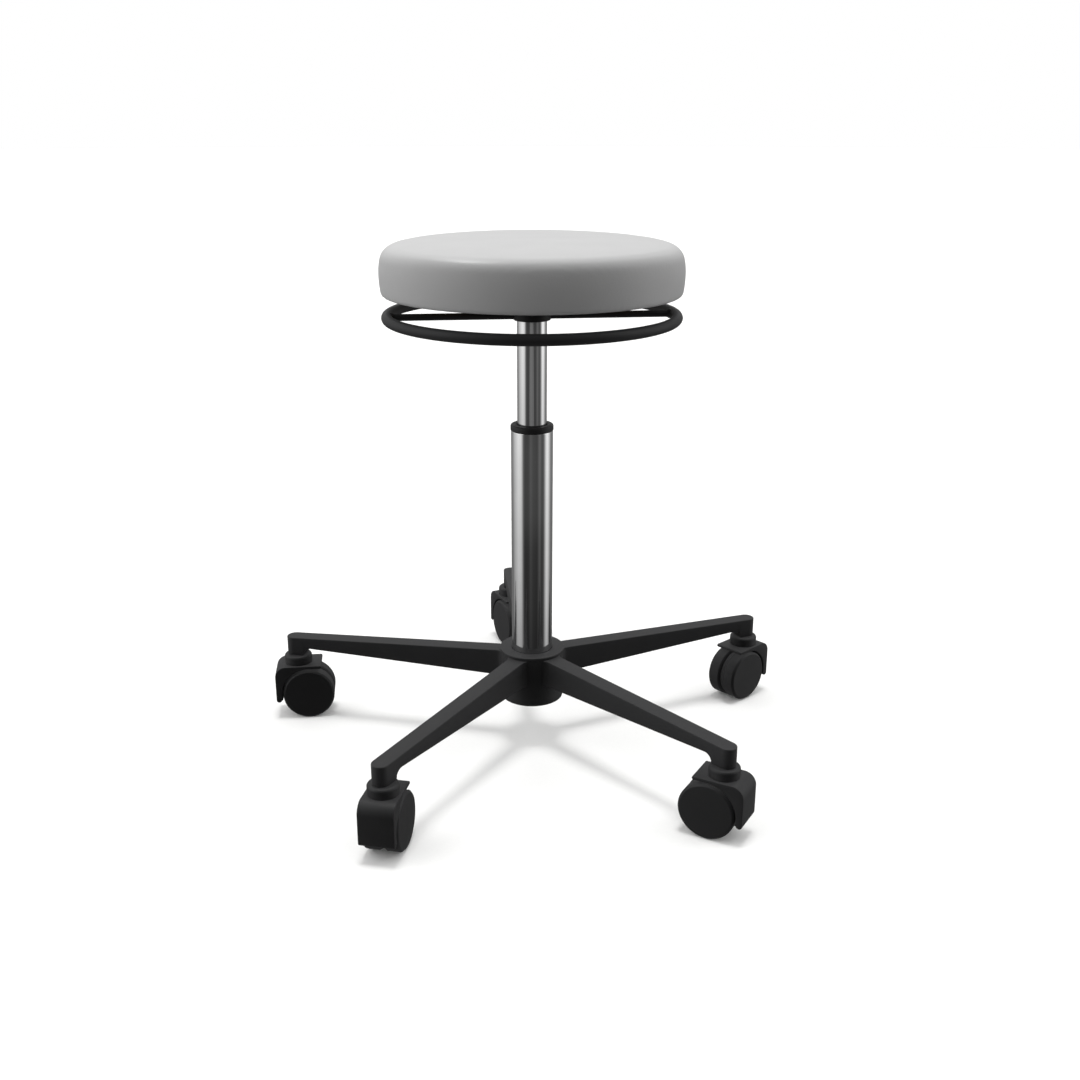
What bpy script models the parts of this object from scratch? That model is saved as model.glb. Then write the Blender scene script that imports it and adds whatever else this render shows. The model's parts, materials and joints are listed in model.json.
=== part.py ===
"""Height-adjustable medical stool on a five-arm castor base, with an all-round release ring.

Metres, +Z up. The origin is on the floor under the column, one arm points along +Y and the
release ring's two spokes lie along X.
"""
import math

import bmesh
import bpy
from mathutils import Matrix, Vector

MM = 0.001

# Fits and mesh settings
GAP = 0.3 * MM                    # between pieces that touch or fit in one another
WELD = 0.001 * MM
SHARP_ANGLE = math.radians(32)
CUT = 1 * MM                      # cutters run this far past what they cut
EDGE_STEPS = 3                    # chords in a rounded edge

# Castors
CASTOR_COUNT = 5
CASTOR_CIRCLE_RADIUS = 314 * MM   # column axis to castor stem
CASTOR_TURN = math.radians(18.6)  # each castor is turned this far about its stem
CASTOR_TRAIL = 12.1 * MM          # stem axis to wheel axle
WHEEL_DIAMETER = 67 * MM
WHEEL_WIDTH = 19 * MM
WHEEL_BEVEL = 2.4 * MM
WHEEL_FACE_WALL = 4.5 * MM        # wheel face to the blind end of its bore
WHEEL_STEPS = 24
WHEEL_POCKET_GAP = 2.5 * MM       # wheel tread to hood
WHEEL_PROUD = 0.9 * MM            # wheel face beyond the hood's side
WEB_THICKNESS = 4 * MM            # plate between the two wheels
WEB_REAR = 5 * MM                 # the web reaches this far behind the axle
WEB_BOSS_RADIUS = 11 * MM
AXLE_DIAMETER = 6 * MM
HOOD_FRONT_WALL = 6.3 * MM        # wheel pocket to the front of the hood
HOOD_REAR = 30 * MM               # stem axis to the end of the rear lip
HOOD_ROOF = 3.5 * MM              # thickness over the wheel pockets
HOOD_LIP = 4.2 * MM
HOOD_FRONT_RADIUS = 14 * MM
HOOD_TIP_HEIGHT = 22.7 * MM       # floor to the lower end of the front wall
HOOD_TIP_RADIUS = 3.6 * MM
HOOD_TIP_END = -150               # degrees, where the round tip runs into the web
WEB_BOSS_START = -60              # degrees, where the web runs into its boss
WEB_BEND = math.radians(11.5)     # above the axle, where the web leaves the front wall
POCKET_STEPS = 28
BOSS_DIAMETER = 35.3 * MM
BOSS_HEIGHT = 12 * MM
BOSS_EDGE_RADIUS = 3.5 * MM
BOSS_STEPS = 22
STEM_DIAMETER = 11 * MM
STEM_IN_ROOF = 2.7 * MM           # stem's lower end under the hood's flat top
STEM_COVER = 5.1 * MM             # arm left above the stem's upper end
STEM_CHAMFER = 1 * MM

# Star base
ARM_WIDTH_ROOT = 22 * MM
ARM_WIDTH_TIP = 20.2 * MM
ARM_DEPTH_ROOT = 34.2 * MM
ARM_DEPTH_TIP = 13 * MM
ARM_RISE = 8.6 * MM               # the arm's top climbs this much from tip to hub
ARM_TIP_OVERHANG = 3 * MM         # centre of the round tip beyond the stem axis
ARM_ROOT_FILLET = 12 * MM
ARM_ROOT_BITE = 1 * MM            # the root fillets run this far into the hub
ARM_STEPS = 40
POST_HEIGHT = 24.5 * MM           # foot of the tip's post to the arm's top
POST_INNER = 11 * MM              # stem axis to the post's inner face
POST_FILLET = 10 * MM
HUB_WALL = 13.1 * MM              # round the column's socket
HUB_HEIGHT = 62.2 * MM
HUB_ABOVE_ARMS = 1.5 * MM
HUB_EDGE = 1.5 * MM
HUB_COVER_OVERHANG = 1.7 * MM     # cover beyond the hub
HUB_COVER_THICKNESS = 3 * MM

# Column
COLUMN_WALL = 2 * MM
COLUMN_LENGTH = 335.2 * MM
COLUMN_TAPER = 1.5 * MM           # loss of radius inside the hub
COLUMN_FLOOR = 4 * MM             # thickness of the tube's closed bottom
COLUMN_RECESS = 8.3 * MM          # hub underside to the tube's bottom
CAP_OVERHANG = 0.5 * MM           # cap beyond the column
CAP_HEIGHT = 7 * MM
CAP_EDGE_RADIUS = 2.4 * MM
GUIDE_LENGTH = 120 * MM
GUIDE_WALL = 4.9 * MM             # fills the space between cylinder and column
TUBE_STEPS = 32

# Gas spring
CYLINDER_DIAMETER = 35 * MM
CYLINDER_WALL = 3 * MM
CYLINDER_LENGTH = 341 * MM
CYLINDER_HEAD = 15 * MM           # solid part under the shoulder
CYLINDER_CHAMFER = 1.5 * MM
SEAT_EXTENSION = 136.5 * MM       # cap to the cylinder's shoulder, as photographed
NECK_STEP = 3.5 * MM              # cylinder radius to neck radius
NECK_TAPER = 0.4 * MM             # loss of radius along the neck
NECK_LENGTH = 15.4 * MM
SEAL_LENGTH = 15 * MM
ROD_DIAMETER = 10 * MM
ROD_STEP = 1 * MM                 # loss of radius at the rod's stepped ends
RIVET_DIAMETER = 12 * MM
RIVET_HEIGHT = 3 * MM
PISTON_HEIGHT = 12 * MM
PISTON_RISE = 108 * MM            # piston's foot above the cylinder's lower end
GROOVE_DEPTH = 0.8 * MM
ROD_TAIL = 2.2 * MM               # rod below its clip groove
RACE_MARGIN = 3 * MM              # race beyond its balls
RACE_THICKNESS = 2 * MM
BALL_DIAMETER = 5 * MM
BALL_CIRCLE_RADIUS = 9.5 * MM
BALL_COUNT = 8
BALL_SEGMENTS = 6
BALL_RINGS = 5
CAGE_THICKNESS = 2.5 * MM
BUFFER_DIAMETER = 28 * MM
BUFFER_HEIGHT = 12 * MM
WASHER_DIAMETER = 20 * MM
WASHER_THICKNESS = 2 * MM
CLIP_DIAMETER = 15 * MM
CLIP_THICKNESS = 1.4 * MM
CLIP_MOUTH = 5 * MM
SMALL_STEPS = 12

# Seat
SEAT_DIAMETER = 347.2 * MM        # at its widest
CUSHION_HEIGHT = 56 * MM          # lower edge to the top of the crown
CROWN_HEIGHT = 1.5 * MM
CROWN_FLAT_RADIUS = 60 * MM
CROWN_STEPS = 4
WIDEST_HEIGHT = 21.5 * MM         # lower edge to the widest level
SIDE_RADIUS = 70 * MM
TOP_EDGE_RADIUS = 17.7 * MM
BOTTOM_EDGE_RADIUS = 6 * MM
SEAT_STEPS = 42
BOARD_INSET = 13.6 * MM           # cushion's widest radius to the board's edge
BOARD_THICKNESS = 15 * MM
BOARD_RECESS = 0.5 * MM           # board underside above the cushion's lower edge
BOARD_OPENING_MARGIN = 10 * MM    # rockers to the edge of the board's central hole
PLATE_EDGE = 15 * MM              # screw axis to the plate's edge
PLATE_THICKNESS = 3 * MM
PLATE_CORNER_RADIUS = 14 * MM
PLATE_ABOVE_NECK = 2.3 * MM
SOCKET_WALL = 5.7 * MM
SOCKET_CLEARANCE = 3 * MM         # cylinder shoulder to the socket's lower end
SCREW_SPACING = 120 * MM
SCREW_DIAMETER = 6 * MM
SCREW_HEAD_DIAMETER = 11 * MM
SCREW_HEAD_HEIGHT = 3.5 * MM
SCREW_COVER = 2.6 * MM            # board left above the screw's point

# Release ring and rockers
RING_RADIUS = 165.8 * MM          # centre line
RING_TUBE_DIAMETER = 12.7 * MM
RING_STEPS = 56
RING_TUBE_STEPS = 8
SPOKE_DIAMETER = 8 * MM
COLLAR_WALL = 3.7 * MM
COLLAR_HEADROOM = 4.5 * MM        # collar up to the socket, room for its lift
COLLAR_HEIGHT = 12.8 * MM
COLLAR_CHAMFER = 1 * MM
COLLAR_FLANGE_MARGIN = 7 * MM     # flange beyond the push pins' axes
COLLAR_FLANGE_THICKNESS = 2.5 * MM
SPOKE_RISE = 4.8 * MM             # collar's lower end to the spokes' axis
PUSH_PIN_DIAMETER = 5 * MM
PUSH_PIN_OFFSET = 9 * MM          # socket's outer face to the push pins' axes
PUSH_PIN_HEAD_EDGE = 1.5 * MM     # head beyond the shank, which keeps the collar from dropping
PUSH_PIN_TIP = 1.6 * MM           # diameter of the coned tip
PUSH_PIN_CONE = 1.5 * MM
ROCKER_PIVOT_INSET = 1 * MM       # neck's radius in to the rockers' pivots
ROCKER_TIP_RADIUS = 1.2 * MM      # column axis to the rockers' inner ends
ROCKER_OVERHANG = 3 * MM          # rocker beyond its push pin
ROCKER_WIDTH = 8 * MM
ROCKER_THICKNESS = 5.6 * MM
ROCKER_CLEARANCE = 3.5 * MM       # plate to the rockers' underside
ROCKER_PIN_DIAMETER = 4 * MM
LUG_THICKNESS = 3 * MM
LUG_LENGTH = 9 * MM
LUG_HEAD = 4.5 * MM               # lug above the pin's axis
BUTTON_DIAMETER = 8 * MM
BUTTON_HEIGHT = 2.7 * MM
BUTTON_STEM_DIAMETER = 5.2 * MM
BUTTON_STEM_LENGTH = 30 * MM

# Castor heights and places, built up from the floor
wheel_radius = WHEEL_DIAMETER / 2
axle_height = wheel_radius * math.cos(math.pi / WHEEL_STEPS)
pocket_radius = wheel_radius + WHEEL_POCKET_GAP
hood_top = axle_height + pocket_radius + HOOD_ROOF
boss_top = hood_top + BOSS_HEIGHT
stem_bottom = hood_top - STEM_IN_ROOF
wheel_inner_face = WEB_THICKNESS / 2 + GAP
wheel_outer_face = wheel_inner_face + WHEEL_WIDTH
axle_half_length = wheel_outer_face - WHEEL_FACE_WALL - GAP
hood_half_width = wheel_outer_face - WHEEL_PROUD
hood_front = pocket_radius + HOOD_FRONT_WALL - CASTOR_TRAIL

# Star base heights
post_foot = boss_top + GAP
arm_tip_top = post_foot + POST_HEIGHT
stem_top = arm_tip_top - STEM_COVER
arm_root_top = arm_tip_top + ARM_RISE
hub_top = arm_root_top + HUB_ABOVE_ARMS
hub_bottom = hub_top - HUB_HEIGHT
hub_cover_top = hub_top + GAP + HUB_COVER_THICKNESS

# Radii, from the gas spring outwards
cylinder_radius = CYLINDER_DIAMETER / 2
neck_radius = cylinder_radius - NECK_STEP
socket_radius = neck_radius + GAP + SOCKET_WALL
guide_bore = cylinder_radius + GAP
column_bore = guide_bore + GUIDE_WALL + GAP
column_radius = column_bore + COLUMN_WALL
hub_radius = column_radius + GAP + HUB_WALL
button_bore_radius = BUTTON_STEM_DIAMETER / 2 + GAP
rod_radius = ROD_DIAMETER / 2
spindle_radius = rod_radius - ROD_STEP
spindle_bore = spindle_radius + GAP
race_radius = BALL_CIRCLE_RADIUS + BALL_DIAMETER / 2 + RACE_MARGIN
push_pin_radius = socket_radius + PUSH_PIN_OFFSET
rocker_pivot_radius = neck_radius - ROCKER_PIVOT_INSET

# Column and gas spring heights
column_bottom = hub_bottom + COLUMN_RECESS
column_top = column_bottom + COLUMN_LENGTH
column_floor_top = column_bottom + COLUMN_FLOOR
cap_bottom = column_top + GAP
cap_top = cap_bottom + CAP_HEIGHT
shoulder = cap_top + SEAT_EXTENSION
cylinder_bottom = shoulder - CYLINDER_LENGTH
neck_top = shoulder + NECK_LENGTH
lower_race_bottom = column_floor_top + GAP
ball_height = lower_race_bottom + RACE_THICKNESS + GAP + BALL_DIAMETER / 2
upper_race_bottom = ball_height + BALL_DIAMETER / 2 + GAP
rod_shoulder = upper_race_bottom + RACE_THICKNESS + GAP
washer_bottom = column_bottom - GAP - WASHER_THICKNESS
clip_bottom = washer_bottom - GAP - CLIP_THICKNESS
piston_bottom = cylinder_bottom + PISTON_RISE
piston_top = piston_bottom + PISTON_HEIGHT

# Seat heights
plate_top = neck_top + PLATE_ABOVE_NECK
plate_bottom = plate_top - PLATE_THICKNESS
socket_bottom = shoulder + SOCKET_CLEARANCE
board_bottom = plate_top + GAP
board_top = board_bottom + BOARD_THICKNESS
cushion_bottom = board_bottom - BOARD_RECESS
cushion_top = cushion_bottom + CUSHION_HEIGHT
seat_radius = SEAT_DIAMETER / 2
board_radius = seat_radius - BOARD_INSET
screw_seat = plate_bottom - GAP
screw_end = board_top - SCREW_COVER

# Release heights
collar_top = socket_bottom - COLLAR_HEADROOM
collar_bottom = collar_top - COLLAR_HEIGHT
collar_radius = guide_bore + COLLAR_WALL
spoke_height = collar_bottom + SPOKE_RISE
rocker_bottom = plate_top + ROCKER_CLEARANCE
rocker_axis = rocker_bottom + ROCKER_THICKNESS / 2
push_pin_top = rocker_bottom - GAP
button_top = rocker_bottom - GAP
lug_inner = ROCKER_WIDTH / 2 + GAP
lug_outer = lug_inner + LUG_THICKNESS


# Scene, materials and modelling helpers
def clear_scene():
    for item in list(bpy.data.objects):
        bpy.data.objects.remove(item)


def collection_named(name):
    group = bpy.data.collections.new(name)
    bpy.context.scene.collection.children.link(group)
    return group


def finish(name, colour, roughness, metallic):
    material = bpy.data.materials.new(name)
    material.use_nodes = True
    surface = material.node_tree.nodes["Principled BSDF"]
    surface.inputs["Base Color"].default_value = (*colour, 1)
    surface.inputs["Roughness"].default_value = roughness
    surface.inputs["Metallic"].default_value = metallic
    return material


def add_part(name, data, material, parent=None):
    part = bpy.data.objects.new(name, data)
    data.materials.clear()
    data.materials.append(material)
    part.parent = parent
    parts.objects.link(part)
    return part


def add_empty(name, location, turn=0.0, parent=None):
    empty = bpy.data.objects.new(name, None)
    empty.location = location
    empty.rotation_euler.z = turn
    empty.parent = parent
    parts.objects.link(empty)
    return empty


def arc(centre, radius, start, end, steps):
    """Points on an arc, with its angles in degrees."""
    angles = [math.radians(start + (end - start) * i / steps) for i in range(steps + 1)]
    return [(centre[0] + radius * math.cos(a), centre[1] + radius * math.sin(a)) for a in angles]


def shade(mesh):
    mesh.shade_smooth()
    mesh.set_sharp_from_angle(angle=SHARP_ANGLE)
    return mesh


def settled(item):
    """The item's mesh with its modifiers applied, welded; the item itself is removed."""
    bpy.context.view_layer.update()
    graph = bpy.context.evaluated_depsgraph_get()
    mesh = bpy.data.meshes.new_from_object(item.evaluated_get(graph))
    mesh.name = item.name
    bpy.data.objects.remove(item)
    body = bmesh.new()
    body.from_mesh(mesh)
    bmesh.ops.remove_doubles(body, verts=body.verts, dist=WELD)
    bmesh.ops.recalc_face_normals(body, faces=body.faces)
    body.to_mesh(mesh)
    body.free()
    return mesh


def draft(name, data):
    """A working object that is cut or copied before it becomes a part."""
    item = bpy.data.objects.new(name, data)
    item.hide_render = True
    item.display_type = 'WIRE'
    cutters.objects.link(item)
    return item


def turned_mesh(name, profile, steps, closed):
    """A profile of (radius, height) points, down its outer side, swept round Z."""
    mesh = bpy.data.meshes.new(name)
    ends = range(len(profile) if closed else len(profile) - 1)
    edges = [(i, (i + 1) % len(profile)) for i in ends]
    mesh.from_pydata([(radius, 0, height) for radius, height in profile], edges, [])
    item = draft(name, mesh)
    screw = item.modifiers.new("Turn", 'SCREW')
    screw.axis = 'Z'
    screw.steps = steps
    screw.render_steps = steps
    screw.use_merge_vertices = True
    screw.merge_threshold = WELD
    return settled(item)


def ring_mesh(name, inner, outer, bottom, top, steps):
    """A plain ring or washer."""
    return turned_mesh(name, [(inner, top), (outer, top), (outer, bottom), (inner, bottom)], steps, True)


def cylinder_mesh(name, radius, bottom, top, steps, top_radius=None):
    mesh = bpy.data.meshes.new(name)
    body = bmesh.new()
    bmesh.ops.create_cone(body, cap_ends=True, segments=steps, radius1=radius,
                          radius2=radius if top_radius is None else top_radius, depth=top - bottom,
                          matrix=Matrix.Translation((0, 0, (bottom + top) / 2)))
    body.to_mesh(mesh)
    body.free()
    return mesh


def box_mesh(name, low, high):
    size = Vector(high) - Vector(low)
    middle = (Vector(high) + Vector(low)) / 2
    mesh = bpy.data.meshes.new(name)
    body = bmesh.new()
    bmesh.ops.create_cube(body, size=1, matrix=Matrix.Translation(middle) @ Matrix.Diagonal((*size, 1)))
    body.to_mesh(mesh)
    body.free()
    return mesh


def outlined_mesh(name, points, low, high):
    """A flat outline extruded from low to high along Z."""
    curve = bpy.data.curves.new(name, 'CURVE')
    curve.dimensions = '2D'
    curve.fill_mode = 'BOTH'
    curve.extrude = (high - low) / 2
    spline = curve.splines.new('POLY')
    spline.points.add(len(points) - 1)
    for point, (x, y) in zip(spline.points, points):
        point.co = (x, y, 0, 1)
    spline.use_cyclic_u = True
    mesh = settled(draft(name, curve))
    mesh.transform(Matrix.Translation((0, 0, (high + low) / 2)))
    return mesh


def grouped_mesh(name, mesh, places):
    """Separate copies of one mesh at each place, in a single mesh."""
    body = bmesh.new()
    for place in places:
        copy = mesh.copy()
        copy.transform(place)
        body.from_mesh(copy)
        bpy.data.meshes.remove(copy)
    group = bpy.data.meshes.new(name)
    body.to_mesh(group)
    body.free()
    return group


def combined(base, *steps):
    """The base mesh after a row of (operation, mesh) Booleans."""
    item = draft(base.name, base)
    tools = []
    for operation, mesh in steps:
        tool = draft(mesh.name, mesh)
        boolean = item.modifiers.new(mesh.name, 'BOOLEAN')
        boolean.operation = operation
        boolean.object = tool
        tools.append(tool)
    mesh = settled(item)
    for tool in tools:
        bpy.data.objects.remove(tool)
    return mesh


def moved(x=0.0, y=0.0, z=0.0):
    return Matrix.Translation((x, y, z))


def turned_about_z(angle):
    return Matrix.Rotation(angle, 4, 'Z')


ALONG_X = Matrix.Rotation(math.pi / 2, 4, 'Y')         # +Z to +X
ALONG_Y = Matrix.Rotation(-math.pi / 2, 4, 'X')        # +Z to +Y
UPRIGHT = Matrix.Rotation(math.pi / 2, 4, 'X')         # an outline's Y to +Z


# Seat
def cushion_profile():
    """Crown, top edge, bulged side, bottom edge and the recess for the board."""
    side_centre = (seat_radius - SIDE_RADIUS, cushion_bottom + WIDEST_HEIGHT)
    shelf = cushion_top - CROWN_HEIGHT
    top_reach = SIDE_RADIUS - TOP_EDGE_RADIUS
    top_angle = math.asin((shelf - TOP_EDGE_RADIUS - side_centre[1]) / top_reach)
    top_centre = (side_centre[0] + top_reach * math.cos(top_angle), shelf - TOP_EDGE_RADIUS)
    low_reach = SIDE_RADIUS - BOTTOM_EDGE_RADIUS
    low_angle = math.asin((side_centre[1] - cushion_bottom - BOTTOM_EDGE_RADIUS) / low_reach)
    low_centre = (side_centre[0] + low_reach * math.cos(low_angle), cushion_bottom + BOTTOM_EDGE_RADIUS)
    crown_run = top_centre[0] - CROWN_FLAT_RADIUS
    crown = []
    for i in range(CROWN_STEPS):
        share = i / CROWN_STEPS
        crown.append((CROWN_FLAT_RADIUS + crown_run * share, cushion_top - CROWN_HEIGHT * share ** 2))
    top_edge = arc(top_centre, TOP_EDGE_RADIUS, 90, math.degrees(top_angle), EDGE_STEPS + 1)
    side = arc(side_centre, SIDE_RADIUS, math.degrees(top_angle), -math.degrees(low_angle), EDGE_STEPS)
    low_edge = arc(low_centre, BOTTOM_EDGE_RADIUS, -math.degrees(low_angle), -90, EDGE_STEPS - 1)
    recess_radius = board_radius + GAP
    recess = [(recess_radius, cushion_bottom), (recess_radius, board_top + GAP), (0, board_top + GAP)]
    return [(0, cushion_top)] + crown + top_edge + side[1:-1] + low_edge + recess


def screw_places():
    half = SCREW_SPACING / 2
    return [moved(x, y) for x in (-half, half) for y in (-half, half)]


def rocker_sides():
    """Name and direction along Y of the two rockers."""
    return (("front", -1), ("back", 1))


def build_seat():
    cushion = turned_mesh("seat_cushion", cushion_profile(), SEAT_STEPS, False)
    add_part("seat_cushion", shade(cushion), vinyl)

    opening_radius = push_pin_radius + ROCKER_OVERHANG + BOARD_OPENING_MARGIN
    board = ring_mesh("seat_board", opening_radius, board_radius, board_bottom, board_top, SEAT_STEPS)
    hole = cylinder_mesh("pilot_hole", SCREW_DIAMETER / 2 + GAP, board_bottom - CUT, screw_end + GAP,
                         SMALL_STEPS)
    holes = grouped_mesh("pilot_holes", hole, screw_places())
    add_part("seat_board", shade(combined(board, ('DIFFERENCE', holes))), plywood)

    shank = SCREW_DIAMETER / 2
    head = SCREW_HEAD_DIAMETER / 2
    head_edge = SCREW_HEAD_HEIGHT / 2
    head_bottom = screw_seat - SCREW_HEAD_HEIGHT
    screw_profile = [(0, screw_end), (shank / 2, screw_end), (shank, screw_end - shank), (shank, screw_seat),
                     (head, screw_seat), (head, screw_seat - head_edge), (head - head_edge, head_bottom),
                     (0, head_bottom)]
    screw = shade(turned_mesh("seat_screw", screw_profile, SMALL_STEPS, False))
    for number, place in enumerate(screw_places(), start=1):
        add_part("seat_screw_%d" % number, screw, zinc).matrix_world = place
    build_seat_plate()


def build_seat_plate():
    """Plate with the tapered socket below it and the rockers' lugs above it."""
    overlap = PLATE_THICKNESS / 2
    flat = SCREW_SPACING / 2 + PLATE_EDGE - PLATE_CORNER_RADIUS
    corners = [(flat, flat, 0), (-flat, flat, 90), (-flat, -flat, 180), (flat, -flat, 270)]
    outline = []
    for x, y, start in corners:
        outline += arc((x, y), PLATE_CORNER_RADIUS, start, start + 90, EDGE_STEPS)
    plate = outlined_mesh("seat_plate", outline, plate_bottom, plate_top)
    socket = cylinder_mesh("socket", socket_radius, socket_bottom, plate_bottom + overlap, TUBE_STEPS)
    lug = box_mesh("lug", (-LUG_THICKNESS / 2, -LUG_LENGTH / 2, plate_top - overlap),
                   (LUG_THICKNESS / 2, LUG_LENGTH / 2, rocker_axis + LUG_HEAD))
    lug_middle = (lug_inner + lug_outer) / 2
    lug_places = []
    pin_holes = []
    pin_hole = cylinder_mesh("pin_hole", ROCKER_PIN_DIAMETER / 2 + GAP, -lug_outer - CUT, lug_outer + CUT,
                             SMALL_STEPS)
    for _, side in rocker_sides():
        pivot = side * rocker_pivot_radius
        pin_holes.append(moved(0, pivot, rocker_axis) @ ALONG_X)
        lug_places += [moved(-lug_middle, pivot), moved(lug_middle, pivot)]
    slope = NECK_TAPER / NECK_LENGTH
    bore_low = socket_bottom - CUT
    bore_high = plate_top + CUT
    bore = cylinder_mesh("neck_bore", neck_radius + GAP - slope * (bore_low - shoulder), bore_low, bore_high,
                         TUBE_STEPS, neck_radius + GAP - slope * (bore_high - shoulder))
    screw_hole = cylinder_mesh("screw_hole", SCREW_DIAMETER / 2 + GAP, plate_bottom - CUT, plate_top + CUT,
                               SMALL_STEPS)
    push_hole = cylinder_mesh("push_hole", PUSH_PIN_DIAMETER / 2 + GAP, plate_bottom - CUT, plate_top + CUT,
                              SMALL_STEPS)
    push_places = [moved(0, side * push_pin_radius) for _, side in rocker_sides()]
    mesh = combined(plate, ('UNION', socket), ('UNION', grouped_mesh("lugs", lug, lug_places)),
                    ('DIFFERENCE', bore),
                    ('DIFFERENCE', grouped_mesh("screw_holes", screw_hole, screw_places())),
                    ('DIFFERENCE', grouped_mesh("push_holes", push_hole, push_places)),
                    ('DIFFERENCE', grouped_mesh("pin_holes", pin_hole, pin_holes)))
    add_part("seat_plate", shade(mesh), black_steel)


# Release ring, its collar and the rockers that press the valve
def build_release():
    bpy.ops.mesh.primitive_torus_add(major_radius=RING_RADIUS, minor_radius=RING_TUBE_DIAMETER / 2,
                                     major_segments=RING_STEPS, minor_segments=RING_TUBE_STEPS)
    torus = bpy.context.object
    ring = torus.data
    bpy.data.objects.remove(torus)
    add_part("release_ring", shade(ring), black_steel).location.z = spoke_height

    inner = collar_radius + GAP
    outer = RING_RADIUS - RING_TUBE_DIAMETER / 2 - GAP
    for name, side in (("left", -1), ("right", 1)):
        spoke = cylinder_mesh("release_spoke_" + name, SPOKE_DIAMETER / 2, inner, outer, SMALL_STEPS)
        part = add_part("release_spoke_" + name, shade(spoke), black_steel)
        part.location.z = spoke_height
        part.rotation_euler.y = side * math.pi / 2

    flange = push_pin_radius + COLLAR_FLANGE_MARGIN
    flange_bottom = collar_top - COLLAR_FLANGE_THICKNESS
    collar_profile = [(guide_bore, collar_top), (flange, collar_top), (flange, flange_bottom),
                      (collar_radius, flange_bottom), (collar_radius, collar_bottom + COLLAR_CHAMFER),
                      (collar_radius - COLLAR_CHAMFER, collar_bottom), (guide_bore, collar_bottom)]
    collar = turned_mesh("release_collar", collar_profile, TUBE_STEPS, True)
    pin = PUSH_PIN_DIAMETER / 2
    head = pin + PUSH_PIN_HEAD_EDGE
    pin_foot = collar_top - COLLAR_FLANGE_THICKNESS / 2
    pin_profile = [(0, push_pin_top), (PUSH_PIN_TIP / 2, push_pin_top), (head, push_pin_top - PUSH_PIN_CONE),
                   (head, plate_top + GAP), (pin, plate_top + GAP), (pin, pin_foot), (0, pin_foot)]
    push_pin = turned_mesh("push_pin", pin_profile, SMALL_STEPS, False)
    places = [moved(0, side * push_pin_radius) for _, side in rocker_sides()]
    push_pins = grouped_mesh("push_pins", push_pin, places)
    add_part("release_collar", shade(combined(collar, ('UNION', push_pins))), black_nylon)
    build_rockers()

    head_bottom = button_top - BUTTON_HEIGHT
    stem = BUTTON_STEM_DIAMETER / 2
    button_profile = [(0, button_top), (BUTTON_DIAMETER / 2, button_top), (BUTTON_DIAMETER / 2, head_bottom),
                      (stem, head_bottom), (stem, head_bottom - BUTTON_STEM_LENGTH),
                      (0, head_bottom - BUTTON_STEM_LENGTH)]
    add_part("valve_button", shade(turned_mesh("valve_button", button_profile, SMALL_STEPS, False)), zinc)


def build_rockers():
    half_width = ROCKER_WIDTH / 2
    half_depth = ROCKER_THICKNESS / 2
    inner = ROCKER_TIP_RADIUS - rocker_pivot_radius
    outer = push_pin_radius + ROCKER_OVERHANG - rocker_pivot_radius
    hole = cylinder_mesh("rocker_hole", ROCKER_PIN_DIAMETER / 2 + GAP, -half_width - CUT, half_width + CUT,
                         SMALL_STEPS)
    hole.transform(ALONG_X)
    bar = box_mesh("rocker", (-half_width, inner, -half_depth), (half_width, outer, half_depth))
    rocker = shade(combined(bar, ('DIFFERENCE', hole)))
    pin = cylinder_mesh("rocker_pin", ROCKER_PIN_DIAMETER / 2, -lug_outer, lug_outer, SMALL_STEPS)
    shade(pin)
    for name, side in rocker_sides():
        pivot = add_empty("rocker_pivot_" + name, (0, side * rocker_pivot_radius, rocker_axis))
        pivot.rotation_euler.z = 0 if side > 0 else math.pi
        add_part("rocker_" + name, rocker, zinc, pivot)
        add_part("rocker_pin_" + name, pin, zinc, pivot).rotation_euler.y = math.pi / 2


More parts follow.
